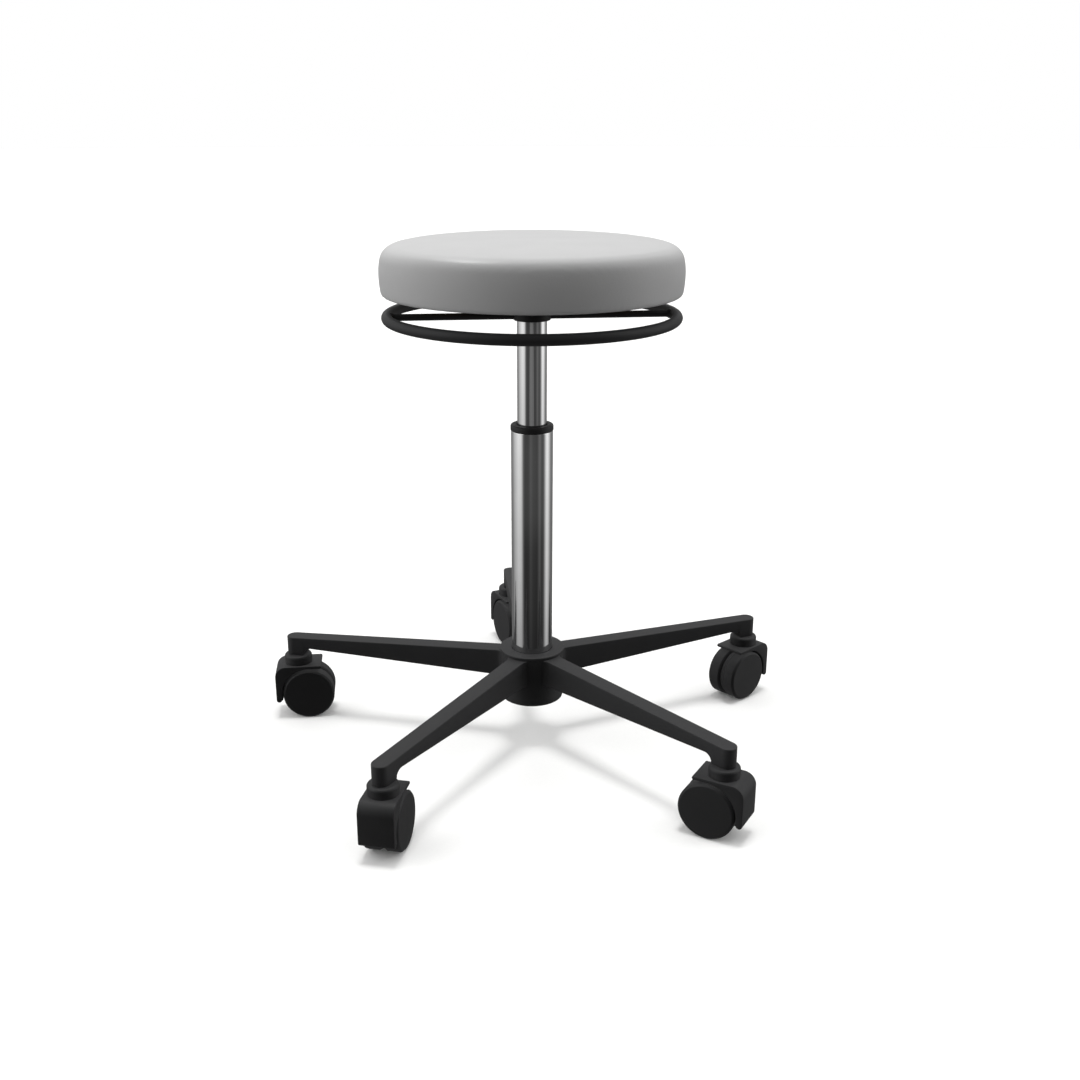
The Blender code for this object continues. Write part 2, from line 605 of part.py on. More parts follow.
# Column and gas spring
def build_column():
    foot_radius = column_radius - COLUMN_TAPER
    tube_profile = [(column_bore, column_top), (column_radius, column_top), (column_radius, hub_cover_top),
                    (foot_radius, column_bottom), (spindle_bore, column_bottom),
                    (spindle_bore, column_floor_top), (foot_radius - COLUMN_WALL, column_floor_top),
                    (column_bore, hub_cover_top)]
    add_part("column_tube", shade(turned_mesh("column_tube", tube_profile, TUBE_STEPS, True)), chrome)

    guide = ring_mesh("guide_sleeve", guide_bore, guide_bore + GUIDE_WALL, column_top - GUIDE_LENGTH,
                      column_top, TUBE_STEPS)
    add_part("guide_sleeve", shade(guide), black_nylon)

    cap_radius = column_radius + CAP_OVERHANG
    edge_centre = (cap_radius - CAP_EDGE_RADIUS, cap_top - CAP_EDGE_RADIUS)
    cap_profile = [(guide_bore, cap_top)] + arc(edge_centre, CAP_EDGE_RADIUS, 90, 0, EDGE_STEPS)
    cap_profile += [(cap_radius, cap_bottom), (guide_bore, cap_bottom)]
    add_part("column_cap", shade(turned_mesh("column_cap", cap_profile, TUBE_STEPS, True)), black_nylon)

    bore = cylinder_radius - CYLINDER_WALL
    cylinder_profile = [(button_bore_radius, neck_top), (neck_radius - NECK_TAPER, neck_top),
                        (neck_radius, shoulder), (cylinder_radius - CYLINDER_CHAMFER, shoulder),
                        (cylinder_radius, shoulder - CYLINDER_CHAMFER), (cylinder_radius, cylinder_bottom),
                        (bore, cylinder_bottom), (bore, shoulder - CYLINDER_HEAD),
                        (button_bore_radius, shoulder - CYLINDER_HEAD)]
    add_part("gas_cylinder", shade(turned_mesh("gas_cylinder", cylinder_profile, TUBE_STEPS, True)), chrome)
    seal = ring_mesh("cylinder_seal", rod_radius + GAP, bore - GAP, cylinder_bottom,
                     cylinder_bottom + SEAL_LENGTH, TUBE_STEPS)
    add_part("cylinder_seal", shade(seal), black_nylon)
    piston = ring_mesh("piston", spindle_bore, bore - GAP, piston_bottom, piston_top, TUBE_STEPS)
    add_part("piston", shade(piston), black_nylon)
    build_rod()


def build_rod():
    """Piston rod, the thrust bearing that it turns on and what keeps it in the tube."""
    rivet = RIVET_DIAMETER / 2
    groove = spindle_radius - GROOVE_DEPTH
    groove_bottom = clip_bottom - GAP
    groove_top = clip_bottom + CLIP_THICKNESS + GAP
    rod_end = groove_bottom - ROD_TAIL
    rivet_bottom = piston_top + GAP
    rivet_top = rivet_bottom + RIVET_HEIGHT
    rod_top = piston_bottom - GAP
    rod_profile = [(0, rivet_top), (rivet, rivet_top), (rivet, rivet_bottom), (spindle_radius, rivet_bottom),
                   (spindle_radius, rod_top), (rod_radius, rod_top), (rod_radius, rod_shoulder),
                   (spindle_radius, rod_shoulder), (spindle_radius, groove_top), (groove, groove_top),
                   (groove, groove_bottom), (spindle_radius, groove_bottom), (spindle_radius, rod_end),
                   (0, rod_end)]
    add_part("piston_rod", shade(turned_mesh("piston_rod", rod_profile, SMALL_STEPS, False)), steel)

    for level, bottom in (("lower", lower_race_bottom), ("upper", upper_race_bottom)):
        name = "bearing_%s_race" % level
        race = ring_mesh(name, spindle_bore, race_radius, bottom, bottom + RACE_THICKNESS, SMALL_STEPS)
        add_part(name, shade(race), steel)
    ball = bpy.data.meshes.new("ball")
    body = bmesh.new()
    bmesh.ops.create_uvsphere(body, u_segments=BALL_SEGMENTS, v_segments=BALL_RINGS,
                              radius=BALL_DIAMETER / 2)
    body.to_mesh(ball)
    body.free()
    turns = [2 * math.pi * i / BALL_COUNT for i in range(BALL_COUNT)]
    places = [turned_about_z(turn) @ moved(BALL_CIRCLE_RADIUS, 0, ball_height) for turn in turns]
    cage = ring_mesh("bearing_cage", spindle_bore, race_radius, ball_height - CAGE_THICKNESS / 2,
                     ball_height + CAGE_THICKNESS / 2, SMALL_STEPS)
    add_part("bearing_cage", shade(combined(cage, ('UNION', grouped_mesh("balls", ball, places)))), steel)

    buffer = ring_mesh("rod_buffer", rod_radius + GAP, BUFFER_DIAMETER / 2, rod_shoulder,
                       rod_shoulder + BUFFER_HEIGHT, SMALL_STEPS)
    add_part("rod_buffer", shade(buffer), rubber)
    washer = ring_mesh("rod_washer", spindle_bore, WASHER_DIAMETER / 2, washer_bottom,
                       washer_bottom + WASHER_THICKNESS, SMALL_STEPS)
    add_part("rod_washer", shade(washer), zinc)
    clip = ring_mesh("rod_clip", groove + GAP, CLIP_DIAMETER / 2, clip_bottom, clip_bottom + CLIP_THICKNESS,
                     SMALL_STEPS)
    mouth = box_mesh("clip_mouth", (0, -CLIP_MOUTH / 2, clip_bottom - CUT),
                     (CLIP_DIAMETER, CLIP_MOUTH / 2, clip_bottom + CLIP_THICKNESS + CUT))
    add_part("rod_clip", shade(combined(clip, ('DIFFERENCE', mouth))), steel)


# Star base
def castor_turns():
    """Angle from +X of each arm; the first points along +Y."""
    return [math.pi / 2 + 2 * math.pi * i / CASTOR_COUNT for i in range(CASTOR_COUNT)]


def arm_outline():
    """Plan of one arm along +X: round tip, straight tapered sides and flared root."""
    tip = CASTOR_CIRCLE_RADIUS + ARM_TIP_OVERHANG
    tip_half = ARM_WIDTH_TIP / 2
    root_half = ARM_WIDTH_ROOT / 2
    flare_height = root_half + ARM_ROOT_FILLET
    flare_reach = hub_radius + ARM_ROOT_FILLET - ARM_ROOT_BITE
    flare_centre = (math.sqrt(flare_reach ** 2 - flare_height ** 2), flare_height)
    flare_end = 180 + math.degrees(math.atan2(flare_centre[1], flare_centre[0]))
    upper = arc(flare_centre, ARM_ROOT_FILLET, flare_end, 270, EDGE_STEPS)
    lower = [(x, -y) for x, y in reversed(upper)]
    return arc((tip, 0), tip_half, -90, 90, 3 * EDGE_STEPS) + upper[::-1] + lower[::-1]


def arm_envelope():
    """Side view of an arm as a ring round the column: top, tip, post and underside."""
    run = CASTOR_CIRCLE_RADIUS - hub_radius

    def level(tip_height, root_height, radius):
        return tip_height + (root_height - tip_height) * (CASTOR_CIRCLE_RADIUS - radius) / run

    def top(radius):
        return level(arm_tip_top, arm_root_top, radius)

    def underside(radius):
        return level(arm_tip_top - ARM_DEPTH_TIP, arm_root_top - ARM_DEPTH_ROOT, radius)

    start = hub_radius / 2
    end = CASTOR_CIRCLE_RADIUS + ARM_TIP_OVERHANG + ARM_WIDTH_TIP
    post = CASTOR_CIRCLE_RADIUS - POST_INNER
    fillet = min(POST_FILLET, underside(post) - post_foot - CUT)
    fillet_centre = (post - fillet, underside(post - fillet) - fillet)
    return [(start, top(start)), (end, top(end)), (end, post_foot), (post, post_foot)] \
        + arc(fillet_centre, fillet, 0, 90, EDGE_STEPS) + [(start, underside(start))]


def build_base():
    low = min(hub_bottom, post_foot) - CUT
    high = max(arm_root_top, arm_tip_top) + ARM_RISE + CUT
    arm = outlined_mesh("arm", arm_outline(), low, high)
    arms = grouped_mesh("star_base", arm, [turned_about_z(turn) for turn in castor_turns()])
    envelope = turned_mesh("arm_envelope", arm_envelope(), ARM_STEPS, True)
    envelope.transform(turned_about_z(math.pi / ARM_STEPS))
    hub_profile = [(0, hub_top), (hub_radius, hub_top), (hub_radius, hub_bottom + HUB_EDGE),
                   (hub_radius - HUB_EDGE, hub_bottom), (0, hub_bottom)]
    hub = turned_mesh("hub", hub_profile, ARM_STEPS, False)
    slope = COLUMN_TAPER / (hub_cover_top - column_bottom)
    bore_low = hub_bottom - CUT
    bore_high = hub_top + CUT
    bore_radius = column_radius + GAP
    bore = cylinder_mesh("hub_bore", bore_radius - slope * (hub_cover_top - bore_low), bore_low, bore_high,
                         TUBE_STEPS, bore_radius - slope * (hub_cover_top - bore_high))
    socket = cylinder_mesh("stem_socket", STEM_DIAMETER / 2 + GAP, post_foot - CUT, stem_top + GAP,
                           SMALL_STEPS)
    stem_places = [turned_about_z(turn) @ moved(CASTOR_CIRCLE_RADIUS) for turn in castor_turns()]
    mesh = combined(arms, ('INTERSECT', envelope), ('UNION', hub), ('DIFFERENCE', bore),
                    ('DIFFERENCE', grouped_mesh("stem_sockets", socket, stem_places)))
    add_part("star_base", shade(mesh), black_coat)

    cover = ring_mesh("hub_cover", bore_radius, hub_radius + HUB_COVER_OVERHANG, hub_top + GAP, hub_cover_top,
                      TUBE_STEPS)
    add_part("hub_cover", shade(cover), black_coat)


# Castors, modelled with the stem on Z, forwards along +X and the floor at zero
def hood_outline():
    """Side view: rear lip, roof, front wall, round tip and the web down to the axle."""
    lip = HOOD_LIP / 2
    lip_centre = (-HOOD_REAR + lip, hood_top - lip)
    front_centre = (hood_front - HOOD_FRONT_RADIUS, hood_top - HOOD_FRONT_RADIUS)
    tip_centre = (hood_front - HOOD_TIP_RADIUS, HOOD_TIP_HEIGHT + HOOD_TIP_RADIUS)
    axle = (-CASTOR_TRAIL, axle_height)
    outline = arc(lip_centre, lip, 270, 90, EDGE_STEPS)
    outline += arc(front_centre, HOOD_FRONT_RADIUS, 90, 0, 2 * EDGE_STEPS)
    outline += arc(tip_centre, HOOD_TIP_RADIUS, 0, HOOD_TIP_END, EDGE_STEPS)
    outline.append((axle[0] + wheel_radius * math.cos(WEB_BEND), axle[1] + wheel_radius * math.sin(WEB_BEND)))
    outline += arc(axle, WEB_BOSS_RADIUS, WEB_BOSS_START, -180, 2 * EDGE_STEPS)
    outline.append((axle[0] - WEB_REAR, hood_top - HOOD_LIP))
    return outline


def hood_mesh():
    hood = outlined_mesh("castor_hood", hood_outline(), -hood_half_width, hood_half_width)
    hood.transform(UPRIGHT)
    boss_radius = BOSS_DIAMETER / 2
    edge_centre = (boss_radius - BOSS_EDGE_RADIUS, boss_top - BOSS_EDGE_RADIUS)
    foot = hood_top - HOOD_ROOF / 3
    boss_profile = [(0, boss_top)] + arc(edge_centre, BOSS_EDGE_RADIUS, 90, 0, EDGE_STEPS)
    boss_profile += [(boss_radius, foot), (0, foot)]
    boss = turned_mesh("hood_boss", boss_profile, BOSS_STEPS, False)
    pocket = cylinder_mesh("wheel_pocket", pocket_radius, WEB_THICKNESS / 2, hood_half_width + CUT,
                           POCKET_STEPS)
    at_axle = moved(-CASTOR_TRAIL, 0, axle_height)
    pockets = grouped_mesh("wheel_pockets", pocket, [at_axle @ ALONG_Y, at_axle @ UPRIGHT])
    stem_bore = cylinder_mesh("stem_bore", STEM_DIAMETER / 2 + GAP, stem_bottom - GAP, boss_top + CUT,
                              SMALL_STEPS)
    axle_bore = cylinder_mesh("axle_bore", AXLE_DIAMETER / 2 + GAP, -WEB_THICKNESS / 2 - CUT,
                              WEB_THICKNESS / 2 + CUT, SMALL_STEPS)
    axle_bore.transform(at_axle @ ALONG_Y)
    return shade(combined(hood, ('UNION', boss), ('DIFFERENCE', pockets), ('DIFFERENCE', stem_bore),
                          ('DIFFERENCE', axle_bore)))


def wheel_mesh():
    """One wheel, its mid-plane side down and its flat face up."""
    bore = AXLE_DIAMETER / 2 + GAP
    bore_end = wheel_outer_face - WHEEL_FACE_WALL
    profile = [(0, wheel_outer_face), (wheel_radius - WHEEL_BEVEL, wheel_outer_face),
               (wheel_radius, wheel_outer_face - WHEEL_BEVEL), (wheel_radius, wheel_inner_face + WHEEL_BEVEL),
               (wheel_radius - WHEEL_BEVEL, wheel_inner_face), (bore, wheel_inner_face), (bore, bore_end),
               (0, bore_end)]
    mesh = turned_mesh("castor_wheel", profile, WHEEL_STEPS, False)
    mesh.transform(turned_about_z(math.pi / 2 + math.pi / WHEEL_STEPS))
    return shade(mesh)


def stem_mesh():
    radius = STEM_DIAMETER / 2
    profile = [(0, stem_top), (radius - STEM_CHAMFER, stem_top), (radius, stem_top - STEM_CHAMFER),
               (radius, stem_bottom), (0, stem_bottom)]
    return shade(turned_mesh("castor_stem", profile, SMALL_STEPS, False))


def build_castors():
    hood = hood_mesh()
    wheel = wheel_mesh()
    stem = stem_mesh()
    axle = shade(cylinder_mesh("castor_axle", AXLE_DIAMETER / 2, -axle_half_length, axle_half_length,
                               SMALL_STEPS))
    for number, turn in enumerate(castor_turns(), start=1):
        name = "castor_%d" % number
        place = (CASTOR_CIRCLE_RADIUS * math.cos(turn), CASTOR_CIRCLE_RADIUS * math.sin(turn), 0)
        swivel = add_empty(name + "_swivel", place, turn + CASTOR_TURN)
        spindle = add_empty(name + "_spindle", (-CASTOR_TRAIL, 0, axle_height), parent=swivel)
        add_part(name + "_hood", hood, black_nylon, swivel)
        add_part(name + "_stem", stem, zinc, swivel)
        add_part(name + "_axle", axle, zinc, spindle).rotation_euler.x = math.pi / 2
        add_part(name + "_wheel_left", wheel, black_nylon, spindle).rotation_euler.x = -math.pi / 2
        add_part(name + "_wheel_right", wheel, black_nylon, spindle).rotation_euler.x = math.pi / 2


clear_scene()
parts = collection_named("medical_stool")
cutters = collection_named("cutters")
vinyl = finish("light grey vinyl", (0.62, 0.62, 0.62), 0.45, 0.0)
plywood = finish("birch plywood", (0.55, 0.40, 0.24), 0.6, 0.0)
chrome = finish("polished chrome", (0.80, 0.80, 0.81), 0.12, 1.0)
black_coat = finish("black powder coat", (0.035, 0.035, 0.036), 0.55, 0.0)
black_steel = finish("black coated steel", (0.025, 0.025, 0.026), 0.5, 0.0)
black_nylon = finish("black nylon", (0.028, 0.028, 0.028), 0.5, 0.0)
rubber = finish("black rubber", (0.03, 0.03, 0.03), 0.85, 0.0)
zinc = finish("zinc plated steel", (0.60, 0.60, 0.58), 0.35, 1.0)
steel = finish("ground steel", (0.52, 0.52, 0.53), 0.25, 1.0)
build_seat()
build_release()
build_column()
build_base()
build_castors()
bpy.data.collections.remove(cutters)
bpy.context.view_layer.update()
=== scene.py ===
import json
import math
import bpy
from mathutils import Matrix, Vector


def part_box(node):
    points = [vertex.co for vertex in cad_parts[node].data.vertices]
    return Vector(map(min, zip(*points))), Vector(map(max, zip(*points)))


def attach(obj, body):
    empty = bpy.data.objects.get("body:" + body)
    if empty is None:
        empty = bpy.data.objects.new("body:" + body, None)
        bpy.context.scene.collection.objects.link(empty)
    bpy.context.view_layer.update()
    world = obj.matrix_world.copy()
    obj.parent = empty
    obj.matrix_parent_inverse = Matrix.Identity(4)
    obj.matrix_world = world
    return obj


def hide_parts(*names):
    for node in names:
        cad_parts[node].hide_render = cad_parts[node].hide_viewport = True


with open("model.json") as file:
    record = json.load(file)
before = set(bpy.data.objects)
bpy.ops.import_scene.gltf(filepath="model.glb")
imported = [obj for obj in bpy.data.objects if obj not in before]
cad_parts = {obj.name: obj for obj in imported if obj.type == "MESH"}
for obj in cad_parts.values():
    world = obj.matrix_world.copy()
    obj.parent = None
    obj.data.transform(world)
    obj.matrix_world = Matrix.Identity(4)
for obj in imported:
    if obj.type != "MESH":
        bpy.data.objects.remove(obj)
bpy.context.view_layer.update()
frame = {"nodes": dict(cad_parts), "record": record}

from types import SimpleNamespace

import bmesh
import bpy
import numpy as np
from mathutils import Matrix, Vector
from mathutils.geometry import tessellate_polygon

mm = 0.001
gap = 0.3 * mm  # clearance between pieces that fit together, as in the CAD
scene = bpy.context.scene


# Small helpers

def linear(code):  # sRGB hex to linear RGBA
    parts = [int(code[i:i + 2], 16) / 255 for i in (1, 3, 5)]
    return [p / 12.92 if p <= 0.04045 else ((p + 0.055) / 1.055) ** 2.4 for p in parts] + [1]


def metres(sizes):  # from a dictionary of millimetres
    return SimpleNamespace(**{key: value * mm for key, value in sizes.items()})


def roundBox(node):  # lowest level, highest level and radius of a CAD node that is round about Z
    low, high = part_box(node)
    return low[2], high[2], (high[0] - low[0]) / 2


def addNode(tree, kind, settings=None, links=None):
    # a key of settings is one of the node's own properties or, failing that, an input
    node = tree.nodes.new(kind)
    for key, value in (settings or {}).items():
        if isinstance(key, str) and key in node.bl_rna.properties:
            setattr(node, key, value)
        else:
            node.inputs[key].default_value = value
    for key, source in (links or {}).items():
        tree.links.new(source, node.inputs[key])
    return node


def newObject(name, data):
    item = bpy.data.objects.new(name, data)
    scene.collection.objects.link(item)
    return item


def newMaterial(name):  # with its tree and the place on the object
    material = bpy.data.materials.new(name)
    material.use_nodes = True
    tree = material.node_tree
    return material, tree, addNode(tree, "ShaderNodeTexCoord").outputs["Object"]


def newTree(name, **inputs):  # every tree also takes the finish that it ends with
    tree = bpy.data.node_groups.new(name, "GeometryNodeTree")
    tree.interface.new_socket(name="Geometry", in_out="OUTPUT", socket_type="NodeSocketGeometry")
    for label, kind in dict(inputs, Finish="Material").items():
        tree.interface.new_socket(name=label, in_out="INPUT", socket_type="NodeSocket" + kind)
    return tree, tree.nodes.new("NodeGroupInput").outputs


def copiesOf(tree, item, points, rotation):  # an object, once at every point
    source = addNode(tree, "GeometryNodeObjectInfo", links={"Object": item})
    links = {"Points": points, "Instance": source.outputs["Geometry"], "Rotation": rotation}
    return addNode(tree, "GeometryNodeInstanceOnPoints", links=links).outputs[0]


def lifted(tree, shape, level):
    height = addNode(tree, "ShaderNodeCombineXYZ", links={"Z": level})
    links = {"Geometry": shape, "Translation": height.outputs[0]}
    return addNode(tree, "GeometryNodeTransform", links=links).outputs[0]


def plainMesh(item):  # the item with its modifiers applied, as a mesh of its own
    bpy.context.view_layer.update()
    mesh = bpy.data.meshes.new_from_object(item.evaluated_get(bpy.context.evaluated_depsgraph_get()))
    mesh.name = item.name
    bpy.data.objects.remove(item)
    return mesh


def grown(name, tree, given, result, **values):  # ends a node tree, runs it and keeps what it makes
    real = addNode(tree, "GeometryNodeRealizeInstances", links={0: result})
    painted = addNode(tree, "GeometryNodeSetMaterial",
                      links={"Geometry": real.outputs[0], "Material": given["Finish"]})
    addNode(tree, "NodeGroupOutput", links={0: painted.outputs[0]})
    holder = newObject(name, bpy.data.meshes.new(name))
    modifier = holder.modifiers.new(name, "NODES")
    modifier.node_group = tree
    for socket in tree.interface.items_tree:
        if socket.in_out == "INPUT":
            modifier[socket.identifier] = values[socket.name]
    mesh = plainMesh(holder)
    for value in values.values():
        if isinstance(value, bpy.types.Object):
            bpy.data.objects.remove(value)
    return mesh


def meshOf(name, body):
    bmesh.ops.recalc_face_normals(body, faces=body.faces)
    mesh = bpy.data.meshes.new(name)
    body.to_mesh(mesh)
    body.free()
    return mesh


def joined(name, *meshes):
    body = bmesh.new()
    for mesh in meshes:
        body.from_mesh(mesh)
    return meshOf(name, body)


def moved(mesh, matrix):
    copy = mesh.copy()
    copy.transform(matrix)
    return copy


def oblong(length, width):  # corners about the middle
    return [(x * length / 2, y * width / 2) for x, y in ((-1, -1), (1, -1), (1, 1), (-1, 1))]


def arc(centre, radius, start, end, steps):  # angles in degrees
    turns = [math.radians(start + (end - start) * i / steps) for i in range(steps + 1)]
    return [(centre[0] + radius * math.cos(t), centre[1] + radius * math.sin(t)) for t in turns]


def rounded(corners, steps=5):  # closed outline of (x, y, corner radius)
    points = []
    for i, (x, y, radius) in enumerate(corners):
        here = Vector((x, y))
        back = (Vector(corners[i - 1][:2]) - here).normalized()
        ahead = (Vector(corners[(i + 1) % len(corners)][:2]) - here).normalized()
        if not radius:
            points.append((x, y))
            continue
        half = math.acos(max(-1, min(1, back.dot(ahead)))) / 2
        centre = here + (back + ahead).normalized() * (radius / math.sin(half))
        first = here + back * (radius / math.tan(half)) - centre
        last = here + ahead * (radius / math.tan(half)) - centre
        start = math.atan2(first.y, first.x)
        sweep = (math.atan2(last.y, last.x) - start + math.pi) % (2 * math.pi) - math.pi
        points += arc(centre, radius, math.degrees(start), math.degrees(start + sweep), steps)
    return points


def bridge(body, rings):  # faces from each ring of points to the next
    for low, high in zip(rings, rings[1:]):
        for i in range(len(low)):
            j = (i + 1) % len(low)
            corners = list(dict.fromkeys((low[i], low[j], high[j], high[i])))  # a point on the axis counts once
            if len(corners) > 2:
                body.faces.new(corners)


def turned(name, outline, steps=128, closed=True):  # (radius, height) points swept round Z
    body = bmesh.new()
    turns = [2 * math.pi * i / steps for i in range(steps)]
    rings = []
    for r, z in outline:
        if r < 1e-6:
            rings.append([body.verts.new((0, 0, z))] * steps)
        else:
            rings.append([body.verts.new((r * math.cos(t), r * math.sin(t), z)) for t in turns])
    bridge(body, rings + rings[:1] if closed else rings)
    return meshOf(name, body)


def inward(outline):  # unit normals of a closed outline, towards its inside
    points = np.array(outline)
    ahead = np.roll(points, -1, axis=0) - points
    ahead /= np.linalg.norm(ahead, axis=1)[:, None]
    along = ahead + np.roll(ahead, 1, axis=0)
    along /= np.linalg.norm(along, axis=1)[:, None]
    area = np.sum(points[:, 0] * np.roll(points[:, 1], -1) - np.roll(points[:, 0], -1) * points[:, 1])
    return np.stack([-along[:, 1], along[:, 0]], axis=1) * (1 if area > 0 else -1)


def rimSteps(edge, steps):  # (inset, depth from the face) round a quarter of an edge
    turns = [math.pi / 2 * i / steps for i in range(steps + 1)]
    return [(edge * (1 - math.sin(t)), edge * (1 - math.cos(t))) for t in turns]


def rimmed(outline, lows, tops, lowRim, topRim):  # a wall along an outline, up to its two rounded rims
    body, normals = bmesh.new(), inward(outline)
    levels = [[(inset, z + depth) for z in lows] for inset, depth in lowRim]
    levels += [[(inset, z - depth) for z in tops] for inset, depth in reversed(topRim)]
    rings = [[body.verts.new((p[0] + n[0] * inset, p[1] + n[1] * inset, z))
              for p, n, (inset, z) in zip(outline, normals, level)] for level in levels]
    bridge(body, rings)
    return body, rings


def slab(name, outline, low, high, edge, steps=4):  # flat outline along Z, with rounded rims
    rim, count = rimSteps(edge, steps), len(outline)
    body, rings = rimmed(outline, [low] * count, [high] * count, rim, rim)
    for ring in (rings[0], rings[-1]):
        for corners in tessellate_polygon([[v.co for v in ring]]):
            body.faces.new([ring[i] for i in corners])
    return meshOf(name, body)


def meshArrays(mesh):  # points, their normals and the two ends of each edge
    places, normals = np.empty(len(mesh.vertices) * 3), np.empty(len(mesh.vertices) * 3)
    ends = np.empty(len(mesh.edges) * 2, dtype=np.int32)
    mesh.vertices.foreach_get("co", places)
    mesh.vertex_normals.foreach_get("vector", normals)
    mesh.edges.foreach_get("vertices", ends)
    return places.reshape(-1, 3), normals.reshape(-1, 3), ends.reshape(-1, 2)


def markEdges(mesh, gain=5):  # how convex the surface is at each point, where handling rubs it
    places, normals, ends = meshArrays(mesh)
    bend, shares = np.zeros(len(places)), np.zeros(len(places))
    for a, b in ((0, 1), (1, 0)):
        span = places[ends[:, a]] - places[ends[:, b]]
        length = np.maximum(np.linalg.norm(span, axis=1), 1e-6)
        np.add.at(bend, ends[:, a], np.sum(span * normals[ends[:, a]], axis=1) / length)
        np.add.at(shares, ends[:, a], 1)
    wear = np.clip(bend / np.maximum(shares, 1) * gain, 0, 1)
    mesh.attributes.new("edgeWear", "FLOAT", "POINT").data.foreach_set("value", wear)


def addPiece(name, mesh, body, slot, *nodes, sharp=35, wear=False):
    mesh.name = name
    mesh.materials.clear()
    mesh.materials.append(finishes[slot])
    mesh.shade_smooth()
    mesh.set_sharp_from_angle(angle=math.radians(sharp))
    if wear:
        markEdges(mesh)
    piece = newObject(name, mesh)
    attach(piece, body)
    if nodes:
        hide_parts(*nodes)
    return piece


# Materials: sizes of a pattern in millimetres, tones and roughness from one end of it to the other

def finishSurface(tree, look, toneBy, shineBy=None, spread=(0, 1), relief=None, rubbedBy=None):
    surface = tree.nodes["Principled BSDF"]
    first, second = (linear(code) for code in look["tones"])
    tone = addNode(tree, "ShaderNodeMix", {"data_type": "RGBA", 6: first, 7: second}, {0: toneBy})
    if rubbedBy is not None:
        tone = addNode(tree, "ShaderNodeMix", {"data_type": "RGBA", 7: linear(look["rubbed"])},
                       {0: rubbedBy, 6: tone.outputs[2]})
    tree.links.new(tone.outputs[2], surface.inputs["Base Color"])
    if shineBy is not None:
        smooth, rough = look["roughness"]
        shine = addNode(tree, "ShaderNodeMapRange", {"From Min": spread[0], "From Max": spread[1],
                                                     "To Min": smooth, "To Max": rough}, {"Value": shineBy})
        tree.links.new(shine.outputs[0], surface.inputs["Roughness"])
    if relief is not None:
        bump = addNode(tree, "ShaderNodeBump", {"Strength": look["bump"], "Distance": look["depth"] * mm},
                       {"Height": relief})
        tree.links.new(bump.outputs[0], surface.inputs["Normal"])
    for socket, value in look["shader"].items():
        surface.inputs[socket].default_value = value


vinylLook = dict(tones=("#cccccc", "#c3c3c3"), roughness=(0.34, 0.42), cloud=70, pebble=2.2, pore=0.8,
                 poreShare=0.35, bump=0.22, depth=0.25, shader={"IOR": 1.5, "Specular IOR Level": 0.1})


def makeVinyl(look=vinylLook):
    # calendered PVC leathercloth, embossed by a roller: a pebble grain breaks a broad soft shine
    material, tree, place = newMaterial("calendered vinyl leathercloth")
    cloud = addNode(tree, "ShaderNodeTexNoise", {"Scale": 1 / (look["cloud"] * mm), "Detail": 3.0},
                    {"Vector": place})
    # the real pebble is about 1 mm across, drawn twice as coarse so that it shows
    pebble = addNode(tree, "ShaderNodeTexVoronoi", {"feature": "SMOOTH_F1", "Smoothness": 0.7,
                                                    "Scale": 1 / (look["pebble"] * mm)}, {"Vector": place})
    pores = addNode(tree, "ShaderNodeTexNoise", {"Scale": 1 / (look["pore"] * mm), "Detail": 2.0},
                    {"Vector": place})
    relief = addNode(tree, "ShaderNodeMath", {"operation": "MULTIPLY_ADD", 1: look["poreShare"]},
                     {0: pores.outputs[0], 2: pebble.outputs["Distance"]})
    finishSurface(tree, look, cloud.outputs[0], cloud.outputs[0], spread=(0.2, 0.8),
                  relief=relief.outputs[0])
    return material


chromeLook = dict(tones=("#d2d2d2", "#c5c5c5"), roughness=(0.05, 0.12), line=1.2, around=12, smear=45,
                  bump=0.015, depth=0.05, shader={"Metallic": 1.0})


def makeChrome(look=chromeLook):
    # chromium plate on drawn and polished steel tube: mirror-bright, with a trace of polishing lines round it
    material, tree, place = newMaterial("bright chromium plate")
    # lines of the polishing wheel are far finer than a pixel, so these are drawn over a millimetre apart
    stretched = addNode(tree, "ShaderNodeMapping",
                        {"Scale": (look["around"], look["around"], 1 / (look["line"] * mm))}, {"Vector": place})
    lines = addNode(tree, "ShaderNodeTexNoise", {"Scale": 1.0, "Detail": 4.0, "Roughness": 0.6},
                    {"Vector": stretched.outputs[0]})
    smears = addNode(tree, "ShaderNodeTexNoise", {"Scale": 1 / (look["smear"] * mm), "Detail": 2.0},
                     {"Vector": place})
    both = addNode(tree, "ShaderNodeMath", {"operation": "MULTIPLY"},
                   {0: lines.outputs[0], 1: smears.outputs[0]})
    finishSurface(tree, look, smears.outputs[0], both.outputs[0], spread=(0.1, 0.45),
                  relief=lines.outputs[0])
    return material


def darkFinish(name, look):
    # shared by the black finishes: a fine relief, a slight cloud in colour and shine, and paler rubbed edges
    material, tree, place = newMaterial(name)
    cloud = addNode(tree, "ShaderNodeTexNoise", {"Scale": 1 / (look["cloud"] * mm), "Detail": 3.0},
                    {"Vector": place})
    relief = addNode(tree, "ShaderNodeTexNoise", {"Scale": 1 / (look["relief"] * mm), "Detail": 2.0,
                                                  "Roughness": 0.55}, {"Vector": place})
    edge = addNode(tree, "ShaderNodeAttribute", {"attribute_name": "edgeWear"})
    patchy = addNode(tree, "ShaderNodeMath", {"operation": "MULTIPLY"},
                     {0: edge.outputs["Fac"], 1: cloud.outputs[0]})
    finishSurface(tree, look, cloud.outputs[0], cloud.outputs[0], spread=(0.25, 0.75),
                  relief=relief.outputs[0], rubbedBy=patchy.outputs[0])
    return material


